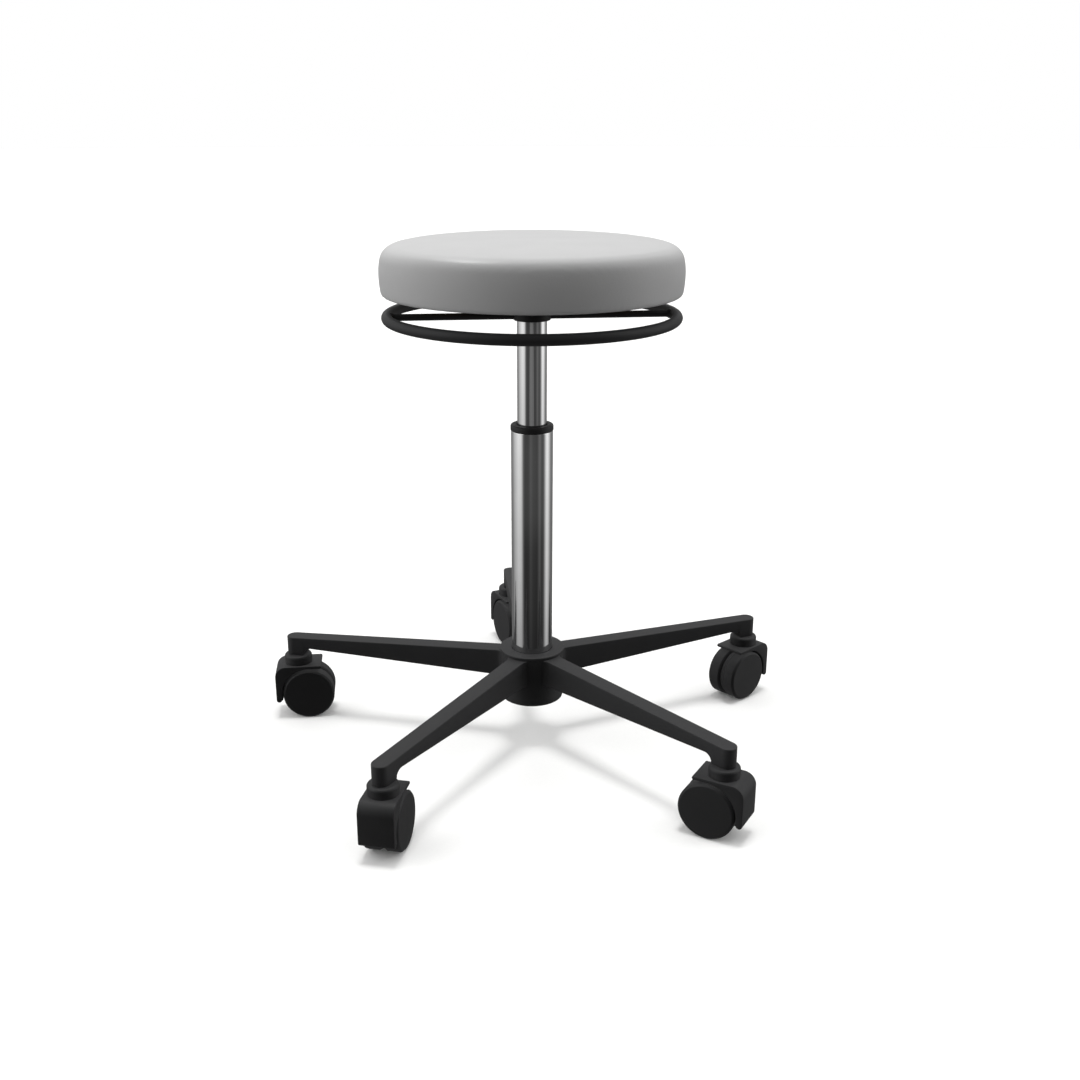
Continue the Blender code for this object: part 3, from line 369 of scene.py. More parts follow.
# polyester powder coat baked on cast aluminium: low sheen with an orange-peel ripple
coatLook = dict(tones=("#262627", "#2b2b2c"), rubbed="#464647", roughness=(0.54, 0.66), cloud=55, relief=1.6,
                bump=0.25, depth=0.12, shader={"IOR": 1.5, "Specular IOR Level": 0.3})
# nylon 6 with glass fibre, moulded in a spark-eroded tool: even, fine and slightly greyish
nylonLook = dict(tones=("#212122", "#282829"), rubbed="#3c3c3d", roughness=(0.52, 0.64), cloud=30, relief=0.9,
                 bump=0.2, depth=0.08, shader={"IOR": 1.53, "Specular IOR Level": 0.3})
# electrocoated bent steel rod and plate: a thin smooth black film
filmLook = dict(tones=("#2d2d2e", "#333334"), rubbed="#3c3c3e", roughness=(0.48, 0.58), cloud=40, relief=2.4,
                bump=0.1, depth=0.06, shader={"IOR": 1.5, "Specular IOR Level": 0.22})
# moulded nitrile rubber: dull, with a powdery bloom
rubberLook = dict(tones=("#161616", "#1f1f1e"), rubbed="#2c2c2c", roughness=(0.62, 0.78), cloud=12, relief=0.7,
                  bump=0.3, depth=0.1, shader={"IOR": 1.52, "Specular IOR Level": 0.4})

zincLook = dict(tones=("#b9bcc0", "#a9a89c"), roughness=(0.30, 0.48), crystal=3.0, bloom=9,
                shader={"Metallic": 1.0})


def makeZinc(look=zincLook):
    # zinc plate, clear passivated: grey-white metal with a faint warm bloom and a crystalline sparkle
    material, tree, place = newMaterial("clear passivated zinc plate")
    crystals = addNode(tree, "ShaderNodeTexVoronoi", {"Scale": 1 / (look["crystal"] * mm)}, {"Vector": place})
    bloom = addNode(tree, "ShaderNodeTexNoise", {"Scale": 1 / (look["bloom"] * mm), "Detail": 3.0},
                    {"Vector": place})
    finishSurface(tree, look, bloom.outputs[0], crystals.outputs["Distance"])
    return material


steelLook = dict(tones=("#b4b5b7", "#9a9b9e"), roughness=(0.18, 0.32), line=0.9, around=90, oil=14,
                 shader={"Metallic": 1.0})


def makeSteel(look=steelLook):
    # ground and oiled bearing steel: directional grinding marks and a darker oil film
    material, tree, place = newMaterial("ground bearing steel")
    along = addNode(tree, "ShaderNodeMapping",
                    {"Scale": (look["around"], look["around"], 1 / (look["line"] * mm))}, {"Vector": place})
    marks = addNode(tree, "ShaderNodeTexNoise", {"Scale": 1.0, "Detail": 5.0}, {"Vector": along.outputs[0]})
    oil = addNode(tree, "ShaderNodeTexNoise", {"Scale": 1 / (look["oil"] * mm), "Detail": 2.0}, {"Vector": place})
    finishSurface(tree, look, oil.outputs[0], marks.outputs[0])
    return material


plyLook = dict(tones=("#d8bb8d", "#b88f5a"), roughness=(0.5, 0.62), ring=7, along=3, through=60, fibre=0.7,
               fibreAlong=20, fibreThrough=200, fibreShare=0.4, bump=0.15, depth=0.1, shader={})


def makePlywood(look=plyLook):
    # rotary-cut birch veneer, sanded: broad wavy figure along the grain and fine darker fibres
    material, tree, place = newMaterial("sanded birch plywood")
    grain = addNode(tree, "ShaderNodeMapping",
                    {"Scale": (look["along"], 1 / (look["ring"] * mm), look["through"])}, {"Vector": place})
    figure = addNode(tree, "ShaderNodeTexNoise", {"Scale": 0.35, "Detail": 4.0, "Distortion": 1.2},
                     {"Vector": grain.outputs[0]})
    fine = addNode(tree, "ShaderNodeMapping",
                   {"Scale": (look["fibreAlong"], 1 / (look["fibre"] * mm), look["fibreThrough"])},
                   {"Vector": place})
    fibres = addNode(tree, "ShaderNodeTexNoise", {"Scale": 1.0, "Detail": 3.0}, {"Vector": fine.outputs[0]})
    mixed = addNode(tree, "ShaderNodeMath", {"operation": "MULTIPLY_ADD", 1: look["fibreShare"]},
                    {0: fibres.outputs[0], 2: figure.outputs[0]})
    share = addNode(tree, "ShaderNodeMapRange", {"From Min": 0.45, "From Max": 0.95}, {"Value": mixed.outputs[0]})
    finishSurface(tree, look, share.outputs[0], fibres.outputs[0], relief=fibres.outputs[0])
    return material


finishes = {
    "vinyl": makeVinyl(),
    "plywood": makePlywood(),
    "chrome": makeChrome(),
    "black_coat": darkFinish("polyester powder coat, black", coatLook),
    "black_steel": darkFinish("electrocoated steel, black", filmLook),
    "black_nylon": darkFinish("glass-filled nylon, black", nylonLook),
    "rubber": darkFinish("nitrile rubber, black", rubberLook),
    "zinc": makeZinc(),
    "steel": makeSteel(),
}
print("materials made:", len(finishes))


# CAD nodes that stay in view get the finish of their own slot
for part in frame["record"]["subparts"]:
    materials = frame["nodes"][part["node"]].data.materials
    materials.clear()
    materials.append(finishes[part["material_slot"]])


# Seat cushion: a foam pad under tight vinyl, swollen by cloth simulation from a slightly smaller shape
cushionSizes = dict(widest=23, crownFlat=60, lowSideRadius=135, bottomRadius=4, drop=1.8, recess=160.3, lip=4.2,
                    recessTop=15.8, inset=4.0, footBand=3, footFade=16, boardBand=2, voxel=3.6, cap=6.0,
                    uneven=0.5)
# bends from the widest level up, each with the tilt that it ends at
cushionShoulder = [(75, 76.6), (10, 66), (20.5, 14), (66, 7.5)]
cushionFoam = dict(pressure=4.0, stretch=30, bending=3, frames=20, even=14, keep=0.25, samples=900)


def cushionOutline(low, radius):  # (radius, height) from the middle of the top to the underside
    s = metres(cushionSizes)
    widest, foot = low + s.widest, low - s.drop
    outline, tilt = [(radius, widest)], 90
    for bend, last in cushionShoulder:
        (r, z), lean = outline[-1], math.radians(tilt)
        middle = (r - bend * mm * math.sin(lean), z - bend * mm * math.cos(lean))
        outline += arc(middle, bend * mm, 90 - tilt, 90 - last, 9)[1:]
        tilt = last
    r, z = outline[-1]
    crown = math.tan(math.radians(tilt)) / 2 / (r - s.crownFlat)
    steps = 24
    for x in [r * (1 - i / steps) for i in range(1, steps + 1)]:
        beyond = max(0, x - s.crownFlat)
        outline.append((x, z + crown * ((r - s.crownFlat) ** 2 - beyond ** 2)))
    outline.reverse()
    reach = s.lowSideRadius - s.bottomRadius
    lean = math.asin((widest - foot - s.bottomRadius) / reach)
    side = radius - s.lowSideRadius
    under = (side + reach * math.cos(lean), foot + s.bottomRadius)
    outline += arc((side, widest), s.lowSideRadius, 0, -math.degrees(lean), 7)[1:]
    outline += arc(under, s.bottomRadius, -math.degrees(lean), -90, 6)[1:]
    return outline + [((under[0] + s.recess + s.lip) / 2, foot), (s.recess + s.lip, foot)]


def swell(pad, pinned):  # the pad's mesh, and how much more or less than the middle value each point swells
    rest, normals, ends = meshArrays(pad.data)
    pins = pad.vertex_groups.new(name="board")
    pins.add(np.nonzero(pinned)[0].tolist(), 1.0, "REPLACE")
    cloth = pad.modifiers.new("swelling", "CLOTH")
    cloth.settings.use_pressure = True
    cloth.settings.uniform_pressure_force = cushionFoam["pressure"]
    cloth.settings.effector_weights.gravity = 0
    cloth.settings.vertex_group_mass = "board"
    cloth.settings.tension_stiffness = cloth.settings.compression_stiffness = cushionFoam["stretch"]
    cloth.settings.bending_stiffness = cushionFoam["bending"]
    cloth.collision_settings.use_collision = False
    for step in range(1, cushionFoam["frames"] + 1):
        scene.frame_set(step)
    mesh = plainMesh(pad)
    scene.frame_set(1)
    puff = np.sum((meshArrays(mesh)[0] - rest) * normals, axis=1)
    puff = np.clip(puff, 0, cushionSizes["cap"] * mm)
    for _ in range(cushionFoam["even"]):  # the foam under the cover evens the swelling out
        total, shares = puff.copy(), np.ones(len(puff))
        for a, b in ((0, 1), (1, 0)):
            np.add.at(total, ends[:, a], puff[ends[:, b]])
            np.add.at(shares, ends[:, a], 1)
        puff = total / shares
    print("cushion swelled by %.2f to %.2f mm" % tuple(np.percentile(puff[~pinned], (5, 95)) / mm))
    return mesh, np.where(pinned, 0, puff - np.median(puff[~pinned]))


def makeCushion():
    s = metres(cushionSizes)
    low, _, radius = roundBox("seat_cushion")
    foot, roof = low - s.drop, low + s.recessTop  # the soft edge hangs a little below the board
    outline = np.array(cushionOutline(low, radius))
    along = np.gradient(outline, axis=0)
    foam = np.stack([along[:, 1], -along[:, 0]], axis=1)  # towards the foam, as the outline runs down
    foam /= np.linalg.norm(foam, axis=1)[:, None]
    foam[0] = (0, -1)
    share = np.clip((outline[:, 1] - foot - s.footBand) / s.footFade, 0, 1)
    start = [tuple(point) for point in outline + foam * (s.inset * share)[:, None]]
    start += [(s.recess, low), (s.recess, roof), (0, roof)]
    pad = newObject("cushionPad", turned("cushionPad", start, 160, closed=False))
    remesh = pad.modifiers.new("voxels", "REMESH")
    remesh.mode = "VOXEL"
    remesh.voxel_size = s.voxel
    pad = newObject("cushionPad", plainMesh(pad))
    rest = meshArrays(pad.data)[0]
    reach = np.hypot(rest[:, 0], rest[:, 1])
    onBoard = (rest[:, 2] < roof + s.boardBand) & (reach < s.recess + s.lip)
    mesh, puff = swell(pad, onBoard | (rest[:, 2] < foot + s.footBand))
    # the tight cover stops the swelling at the real outline, with a little of the unevenness left
    places = np.linspace(0, len(outline) - 1, cushionFoam["samples"])
    fine, inside = (np.stack([np.interp(places, np.arange(len(outline)), column) for column in curve.T], axis=1)
                    for curve in (outline, foam))
    nearest = np.array([np.argmin((fine[:, 0] - r) ** 2 + (fine[:, 1] - z) ** 2)
                        for r, z in zip(reach, rest[:, 2])])
    left = np.clip(puff * cushionFoam["keep"], -s.uneven, s.uneven)
    target = fine[nearest] - inside[nearest] * left[:, None]
    scale = (target[:, 0] / np.maximum(reach, 1e-6))[:, None]
    cover = np.concatenate([rest[:, :2] * scale, target[:, 1:]], axis=1)
    mesh.vertices.foreach_set("co", np.where(onBoard[:, None], rest, cover).ravel())
    mesh.update()
    pad = newObject("cushionPad", mesh)
    smooth = pad.modifiers.new("tight cover", "SMOOTH")
    smooth.factor = 0.5
    smooth.iterations = 1
    finer = pad.modifiers.new("finer", "SUBSURF")
    finer.levels = finer.render_levels = 1
    return plainMesh(pad)


cushion = addPiece("seatCushion", makeCushion(), "seat", "vinyl", "seat_cushion", sharp=80)
print("cushion made:", len(cushion.data.polygons), "faces")


# Vinyl hem: the cover turned under the board, gathered into small pleats and stapled
hemSizes = dict(outer=163.5, inner=136, ragged=2.0, thick=1.2, gap=0.15, pleat=0.7, flatten=0.6, steps=360,
                rows=9, waves=(37, 23, 11, 5), seed=4)
stapleSizes = dict(count=44, circle=147, length=11, wire=0.9, corner=0.3, edge=0.25, level=0.55)


def makeHem():
    s = SimpleNamespace(**hemSizes)
    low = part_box("seat_board")[0][2]
    phases = np.random.default_rng(s.seed).uniform(0, 2 * math.pi, len(s.waves))
    turns = np.arange(s.steps) * 2 * math.pi / s.steps
    wave = sum(np.sin(turns * n + p) for n, p in zip(s.waves, phases)) / len(s.waves)
    body = bmesh.new()
    lower, upper = [], []
    for share in [k / (s.rows - 1) for k in range(s.rows)]:  # from the ragged inner edge out
        ring, lid = [], []
        for turn, w in zip(turns, wave):
            r = (s.inner + s.ragged * w * (1 - share) ** 2) * (1 - share)
            r = (r + s.outer * share) * mm
            z = low - (s.gap + s.pleat * max(0, w) * (1 - s.flatten * share)) * mm
            x, y = r * math.cos(turn), r * math.sin(turn)
            ring.append(body.verts.new((x, y, z - s.thick * mm)))
            lid.append(body.verts.new((x, y, z)))
        lower.append(ring)
        upper.append(lid)
    bridge(body, lower + upper[::-1] + lower[:1])
    return meshOf("vinylHem", body)


def makeStaples():
    s = metres(stapleSizes)
    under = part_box("seat_board")[0][2] - hemSizes["thick"] * mm
    crown = rounded([(x, y, s.corner) for x, y in oblong(s.length, s.wire)], 3)
    staple = newObject("staple", slab("staple", crown, -s.wire / 2, s.wire / 2, s.edge, 2))
    tree, given = newTree("staples round the hem", Staple="Object", Circle="Float", Count="Int", Level="Float")
    circle = addNode(tree, "GeometryNodeCurvePrimitiveCircle", {"Resolution": 256}, {"Radius": given["Circle"]})
    spread = addNode(tree, "GeometryNodeResampleCurve",
                     links={"Curve": circle.outputs[0], "Count": given["Count"]})
    tangent = addNode(tree, "GeometryNodeInputTangent")
    facing = addNode(tree, "FunctionNodeAlignRotationToVector", {"axis": "X"}, {"Vector": tangent.outputs[0]})
    copies = copiesOf(tree, given["Staple"], spread.outputs[0], facing.outputs[0])
    return grown("hemStaples", tree, given, lifted(tree, copies, given["Level"]), Staple=staple,
                 Circle=s.circle, Count=stapleSizes["count"], Level=under - s.level,
                 Finish=finishes["zinc"])


addPiece("vinylHem", makeHem(), "seat", "vinyl")
addPiece("hemStaples", makeStaples(), "seat", "zinc")
print("hem and staples made")


# Seat screws: pan heads with a cross recess, holding the plate to the board
screwSizes = dict(spacing=120, shank=6, tip=2.5, head=11, headHeight=3.5, rimShare=0.3, domeStart=0.15, slot=1.2,
                  slotLength=5.4, slotDepth=2.0, slotClear=1.0, slotEdge=0.1, seed=3)


def makeScrews():
    s, rim = metres(screwSizes), screwSizes["rimShare"]
    low, high = (corner[2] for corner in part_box("seat_screw_1"))
    head, tall, shank = s.head / 2, s.headHeight, s.shank / 2
    seat = low + tall
    outline = [(0, low)] + [(head * math.sin(t), seat - tall * (rim + (1 - rim) * math.cos(t)))
                            for t in np.linspace(screwSizes["domeStart"], math.pi / 2, 10)]
    outline += [(head, seat), (shank, seat), (shank, high - s.tip), (0, high)]
    screw = newObject("screw", turned("screw", outline, 32, closed=False))
    slot = slab("cross", oblong(s.slotLength, s.slot), low - s.slotClear, low + s.slotDepth,
                s.slotEdge, 1)
    tools = [newObject("cross", moved(slot, Matrix.Rotation(turn, 4, "Z"))) for turn in (0, math.pi / 2)]
    for tool in tools:
        screw.modifiers.new("recess", "BOOLEAN").object = tool
    screw = newObject("screw", plainMesh(screw))
    for tool in tools:
        bpy.data.objects.remove(tool)
    tree, given = newTree("screws in the plate", Screw="Object", Spacing="Float")
    grid = addNode(tree, "GeometryNodeMeshGrid", {"Vertices X": 2, "Vertices Y": 2},
                   {"Size X": given["Spacing"], "Size Y": given["Spacing"]})
    spin = addNode(tree, "FunctionNodeRandomValue",
                   {"data_type": "FLOAT_VECTOR", 1: (0, 0, 6.28), "Seed": screwSizes["seed"]})  # any turn
    copies = copiesOf(tree, given["Screw"], grid.outputs[0], spin.outputs[0])
    return grown("seatScrews", tree, given, copies, Screw=screw, Spacing=s.spacing, Finish=finishes["zinc"])


addPiece("seatScrews", makeScrews(), "seat", "zinc",
         "seat_screw_1", "seat_screw_2", "seat_screw_3", "seat_screw_4")
print("screws made")


# Release ring: bent rod all round, two welded spokes and the collar that slides on the upper tube
releaseSizes = dict(weld=1.6, weldLength=4.0, weldBack=2.0, intoRing=2.5, collarHeight=12.8, collarEdge=0.9,
                    boreEdge=0.4, neckEdge=1.5, flange=2.5, flangeEdge=0.7, pinPlace=29.0, pin=2.5, pinHead=4.0,
                    pinTip=0.8, pinCone=1.5, pinSink=1.0)
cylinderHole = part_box("gas_cylinder")[1][0] + gap  # for the pieces that the upper tube passes through


def makeRing():
    low, high, radius = roundBox("release_ring")
    rod = (high - low) / 2
    tree, given = newTree("bent rod ring", Radius="Float", Rod="Float", Level="Float")
    path = addNode(tree, "GeometryNodeCurvePrimitiveCircle", {"Resolution": 224}, {"Radius": given["Radius"]})
    section = addNode(tree, "GeometryNodeCurvePrimitiveCircle", {"Resolution": 28}, {"Radius": given["Rod"]})
    tube = addNode(tree, "GeometryNodeCurveToMesh",
                   links={"Curve": path.outputs[0], "Profile Curve": section.outputs[0]})
    return grown("releaseRing", tree, given, lifted(tree, tube.outputs[0], given["Level"]), Radius=radius - rod,
                 Rod=rod, Level=(low + high) / 2, Finish=finishes["black_steel"])


def makeSpokes():
    s, steps = metres(releaseSizes), 8
    low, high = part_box("release_spoke_right")
    rod = (high[2] - low[2]) / 2
    end = high[0] + s.intoRing
    outline = [(0, low[0]), (rod, low[0])]
    outline += [(rod + s.weld * (i / steps) ** 2, end - s.weldBack - s.weldLength * (1 - i / steps))
                for i in range(steps + 1)]
    outline += [(rod + s.weld, end), (0, end)]
    spoke = turned("spoke", outline, 40, closed=False)
    level = Matrix.Translation((0, 0, (low[2] + high[2]) / 2))
    return joined("releaseSpokes", *(moved(spoke, level @ Matrix.Rotation(side * math.pi / 2, 4, "Y"))
                                     for side in (1, -1)))


def makeCollar():
    s = metres(releaseSizes)
    low, high, flange = roundBox("release_collar")
    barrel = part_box("release_spoke_right")[0][0] - gap
    top = low + s.collarHeight
    neck, sunk, cone = top - s.flange, top - s.pinSink, high - s.pinCone
    ring = turned("collar", rounded([
        (cylinderHole, low, s.boreEdge), (barrel, low, s.collarEdge), (barrel, neck, s.neckEdge),
        (flange, neck, s.flangeEdge), (flange, top, s.flangeEdge), (cylinderHole, top, s.boreEdge)]), 96)
    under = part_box("seat_board")[0][2]
    pin = turned("pin", [(0, high), (s.pinTip, high), (s.pinHead, cone), (s.pinHead, under),
                         (s.pin, under), (s.pin, sunk), (0, sunk)], 32, closed=False)
    return joined("releaseCollar", ring, *(moved(pin, Matrix.Translation((0, side * s.pinPlace, 0)))
                                           for side in (1, -1)))


addPiece("releaseRing", makeRing(), "release", "black_steel", "release_ring", sharp=80)
addPiece("releaseSpokes", makeSpokes(), "release", "black_steel", "release_spoke_left", "release_spoke_right")
addPiece("releaseCollar", makeCollar(), "release", "black_nylon", "release_collar", wear=True)
print("release ring made")


# Column: chromed lower tube with its cap, and the chromed cylinder of the gas spring
columnSizes = dict(wall=2.0, lip=0.8, innerLip=0.4, taper=1.5, footEdge=1.0, floor=4.0, spindle=4.3)
capSizes = dict(foot=0.5, edge=2.4, bevel=1.2, bevelDepth=1.0, bevelEdge=0.5, boreEdge=0.3)
cylinderSizes = dict(wall=3.0, footEdge=0.6, footBore=0.3, plateGap=3.0, shoulderEdge=2.0, neckStep=3.5,
                     neckRoot=0.4, neckTaper=0.4, neckEdge=0.5, stem=2.9, head=15.0, headEdge=1.0)


def makeColumn():
    s = metres(columnSizes)
    low, high, radius = roundBox("column_tube")
    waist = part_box("hub_cover")[1][2]
    foot, inner, floor = radius - s.taper, radius - s.wall, low + s.floor
    return turned("columnTube", rounded([
        (s.spindle, low, 0), (foot, low, s.footEdge), (radius, waist, 0), (radius, high, s.lip),
        (inner, high, s.innerLip), (inner, waist, 0), (foot - s.wall, floor, 0), (s.spindle, floor, 0)],
        4), 160)


def makeCap():
    s = metres(capSizes)
    low, high, radius = roundBox("column_cap")
    return turned("columnCap", rounded([
        (cylinderHole, low, 0), (radius, low, s.foot), (radius, high, s.edge),
        (cylinderHole + s.bevel, high, s.bevelEdge), (cylinderHole, high - s.bevelDepth, s.boreEdge)],
        8), 160)


def makeCylinder():
    s = metres(cylinderSizes)
    low, high, radius = roundBox("gas_cylinder")
    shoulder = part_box("seat_plate")[0][2] - s.plateGap
    neck, bore, head = radius - s.neckStep, radius - s.wall, shoulder - s.head
    return turned("gasCylinder", rounded([
        (bore, low, s.footBore), (radius, low, s.footEdge), (radius, shoulder, s.shoulderEdge),
        (neck, shoulder, s.neckRoot), (neck - s.neckTaper, high, s.neckEdge), (s.stem, high, 0),
        (s.stem, head, 0), (bore, head, s.headEdge)], 5), 160)


columnTube = addPiece("columnTube", makeColumn(), "base", "chrome", "column_tube")
addPiece("columnCap", makeCap(), "base", "black_nylon", "column_cap", wear=True)
gasCylinder = addPiece("gasCylinder", makeCylinder(), "seat", "chrome", "gas_cylinder")
print("column made")


# Star base: one casting of a hub and five slim arms, each with a post at its tip for the castor's stem
baseSizes = dict(arms=5, circle=314, rootWidth=22, tipWidth=20.2, rootDepth=34.2, tipDepth=13, rise=8.6,
                 overhang=3, rootFillet=12, rootBite=1, rootBack=9, rootOut=7, postHeight=24.5, postInner=11,
                 postFillet=10, postStep=0.35, topEdge=1.1, lowEdge=0.8, hubRadius=38.4, hubDepth=62.2,
                 hubAboveArms=1.5, hubEdge=1.5, hubTopEdge=0.8, boreTaper=1.4, boreFoot=0.5, boreEdge=0.4)
coverSizes = dict(edge=0.9, footEdge=0.4, boreFoot=0.3, boreEdge=0.5)
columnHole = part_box("column_tube")[1][0] + gap  # for the pieces that the lower tube passes through


def makeArm(topOfHub):
    s = metres(baseSizes)
    tipTop = topOfHub - s.hubAboveArms - s.rise
    run = s.circle - s.hubRadius

    def underAt(x):
        return (tipTop - s.tipDepth) + (s.rise - s.rootDepth + s.tipDepth) * (s.circle - x) / run

    # plan of one side, from inside the hub to the middle of the round tip
    flareY = s.rootWidth / 2 + s.rootFillet
    reach = s.hubRadius + s.rootFillet - s.rootBite
    flareX = math.sqrt(reach ** 2 - flareY ** 2)
    flareEnd = 180 + math.degrees(math.atan2(flareY, flareX))
    tip = s.circle + s.overhang
    post = s.circle - s.postInner
    plan = [(flareX - s.rootFillet - s.rootBack, s.rootWidth / 2 + s.rootOut)]
    plan += arc((flareX, flareY), s.rootFillet, flareEnd, 270, 12)
    bend = post - s.postFillet
    curve = arc((bend, underAt(bend) - s.postFillet), s.postFillet, 90, 0, 10)
    straight = [flareX + (bend - flareX) * i / 24 for i in range(1, 24)] + [x for x, _ in curve]
    straight += [post + s.postStep + (tip - post) * i / 6 for i in range(6)]
    plan += [(x, s.rootWidth / 2 + (s.tipWidth - s.rootWidth) / 2 * (x - flareX) / (tip - flareX))
             for x in straight]
    steps = 9
    plan += arc((tip, 0), s.tipWidth / 2, 90, 90 / (2 * steps + 1), steps)  # half a step short of the middle
    lows = []
    for x, _ in plan:
        if x <= bend:
            lows.append(underAt(x))
        elif x <= post + 1e-6:
            drop = math.sqrt(max(0, s.postFillet ** 2 - (x - bend) ** 2))
            lows.append(underAt(bend) - s.postFillet + drop)
        else:
            lows.append(tipTop - s.postHeight)
    tops = [tipTop + s.rise * (s.circle - x) / run for x, _ in plan]
    body, rings = rimmed(plan + [(x, -y) for x, y in reversed(plan)], lows + lows[::-1], tops + tops[::-1],
                         rimSteps(s.lowEdge, 3), rimSteps(s.topEdge, 4))
    for ring in (rings[0], rings[-1]):  # underside and top are strips from one side to the other
        for i in range(len(plan) - 1):
            body.faces.new((ring[i], ring[i + 1], ring[-2 - i], ring[-1 - i]))
    return meshOf("arm", body)


def makeBase():
    s = metres(baseSizes)
    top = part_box("hub_cover")[0][2] - gap
    bottom = top - s.hubDepth
    hub = newObject("hub", turned("hub", rounded([
        (columnHole - s.boreTaper, bottom, s.boreFoot), (s.hubRadius, bottom, s.hubEdge),
        (s.hubRadius, top, s.hubTopEdge), (columnHole, top, s.boreEdge)], 5), 160))
    arm = newObject("arm", makeArm(top))
    tree, given = newTree("five arms round a hub", Arm="Object", Hub="Object", Arms="Int", First="Float")
    points = addNode(tree, "GeometryNodeMeshLine", {"Offset": (0, 0, 0)}, {"Count": given["Arms"]})
    index = addNode(tree, "GeometryNodeInputIndex")
    share = addNode(tree, "ShaderNodeMath", {"operation": "DIVIDE", 0: 2 * math.pi}, {1: given["Arms"]})
    turn = addNode(tree, "ShaderNodeMath", {"operation": "MULTIPLY_ADD"},
                   {0: index.outputs[0], 1: share.outputs[0], 2: given["First"]})
    spin = addNode(tree, "ShaderNodeCombineXYZ", links={"Z": turn.outputs[0]})
    hubSource = addNode(tree, "GeometryNodeObjectInfo", links={"Object": given["Hub"]})
    copies = copiesOf(tree, given["Arm"], points.outputs[0], spin.outputs[0])
    whole = addNode(tree, "GeometryNodeJoinGeometry", links={0: copies})
    tree.links.new(hubSource.outputs["Geometry"], whole.inputs[0])
    return grown("starBase", tree, given, whole.outputs[0], Arm=arm, Hub=hub, Arms=baseSizes["arms"],
                 First=math.pi / 2, Finish=finishes["black_coat"])


def makeHubCover():
    s = metres(coverSizes)
    low, high, radius = roundBox("hub_cover")
    return turned("hubCover", rounded([
        (columnHole, low, s.boreFoot), (radius, low, s.footEdge), (radius, high, s.edge),
        (columnHole, high, s.boreEdge)], 5), 160)


addPiece("starBase", makeBase(), "base", "black_coat", "star_base", wear=True)
addPiece("hubCover", makeHubCover(), "base", "black_coat", "hub_cover", wear=True)
print("star base made")


# Castors: a moulded hood with a boss, and two wheels either side of its web
castorSizes = dict(trail=12.1, axle=33.213, wheelInner=2.3, wheelOuter=21.3, wheelBevel=2.4, wheelEdge=1.2,
                   innerEdge=0.8, bore=3.3, boreEnd=16.8, pocket=34.6, pocketTop=35.5, halfWidth=20.4, front=30.2,
                   rear=30.0, top=72.713, lip=4.2, frontRadius=14, tipHeight=22.7, tipRadius=3.6, edge=1.0,
                   web=4.0, webRadius=30.4, webSink=1.5, webEdge=0.5, bossRadius=17.65, bossTop=84.713,
                   bossEdge=3.5, bossSink=1.2, stemBore=5.8, stemEdge=0.4)
castorAngles = dict(turn=18.6, tip=-165, pocket=-12, opening=45, webFront=(-4, 96), webBack=(99, 353))


def makeHood():
    s, angles = metres(castorSizes), castorAngles
    axle = (-s.trail, s.axle)
    lip = s.lip / 2
    front = (s.front - s.frontRadius, s.top - s.frontRadius)
    tip = (s.front - s.tipRadius, s.tipHeight + s.tipRadius)
    under = s.top - s.lip
    meet = 180 - math.degrees(math.asin((under - axle[1]) / s.pocketTop))  # where the pocket meets the lip
    shell = arc((-s.rear + lip, s.top - lip), lip, 270, 90, 10)
    shell += arc(front, s.frontRadius, 90, 0, 16)
    shell += arc(tip, s.tipRadius, 0, angles["tip"], 12)
    # the pocket lies close to the wheels in front and opens a little towards the lip
    for turn in np.linspace(angles["pocket"], meet, 49):
        opened = max(0, (turn - angles["opening"]) / (meet - angles["opening"]))
        shell += arc(axle, s.pocket + (s.pocketTop - s.pocket) * opened, turn, turn, 1)[:1]
    hood = slab("hood", shell, -s.halfWidth, s.halfWidth, s.edge, 4)
    # round between the wheels, and wider in front, where it grows out of the pocket
    web = arc(axle, s.pocket + s.webSink, *angles["webFront"], 40)
    web += arc(axle, s.webRadius, *angles["webBack"], 72)
    plate = slab("web", web, -s.web / 2, s.web / 2, s.webEdge, 2)
    upright = Matrix.Rotation(math.pi / 2, 4, "X")  # an outline's Y to +Z
    foot = s.top - s.bossSink
    boss = turned("boss", rounded([
        (s.stemBore, foot, 0), (s.bossRadius, foot, 0), (s.bossRadius, s.bossTop, s.bossEdge),
        (s.stemBore, s.bossTop, s.stemEdge)], 8), 96)
    return joined("castorHood", moved(hood, upright), moved(plate, upright), boss)


def makeWheel():
    s = metres(castorSizes)
    radius, bevel, edge = s.axle, s.wheelBevel, s.wheelEdge
    inner, outer = s.wheelInner, s.wheelOuter
    return turned("castorWheel", rounded([
        (radius - bevel, outer, edge), (radius, outer - bevel, edge), (radius, inner + bevel, edge),
        (radius - bevel, inner, s.innerEdge), (s.bore, inner, 0), (s.bore, s.boreEnd, 0),
        (0, s.boreEnd, 0), (0, outer, 0)], 6))


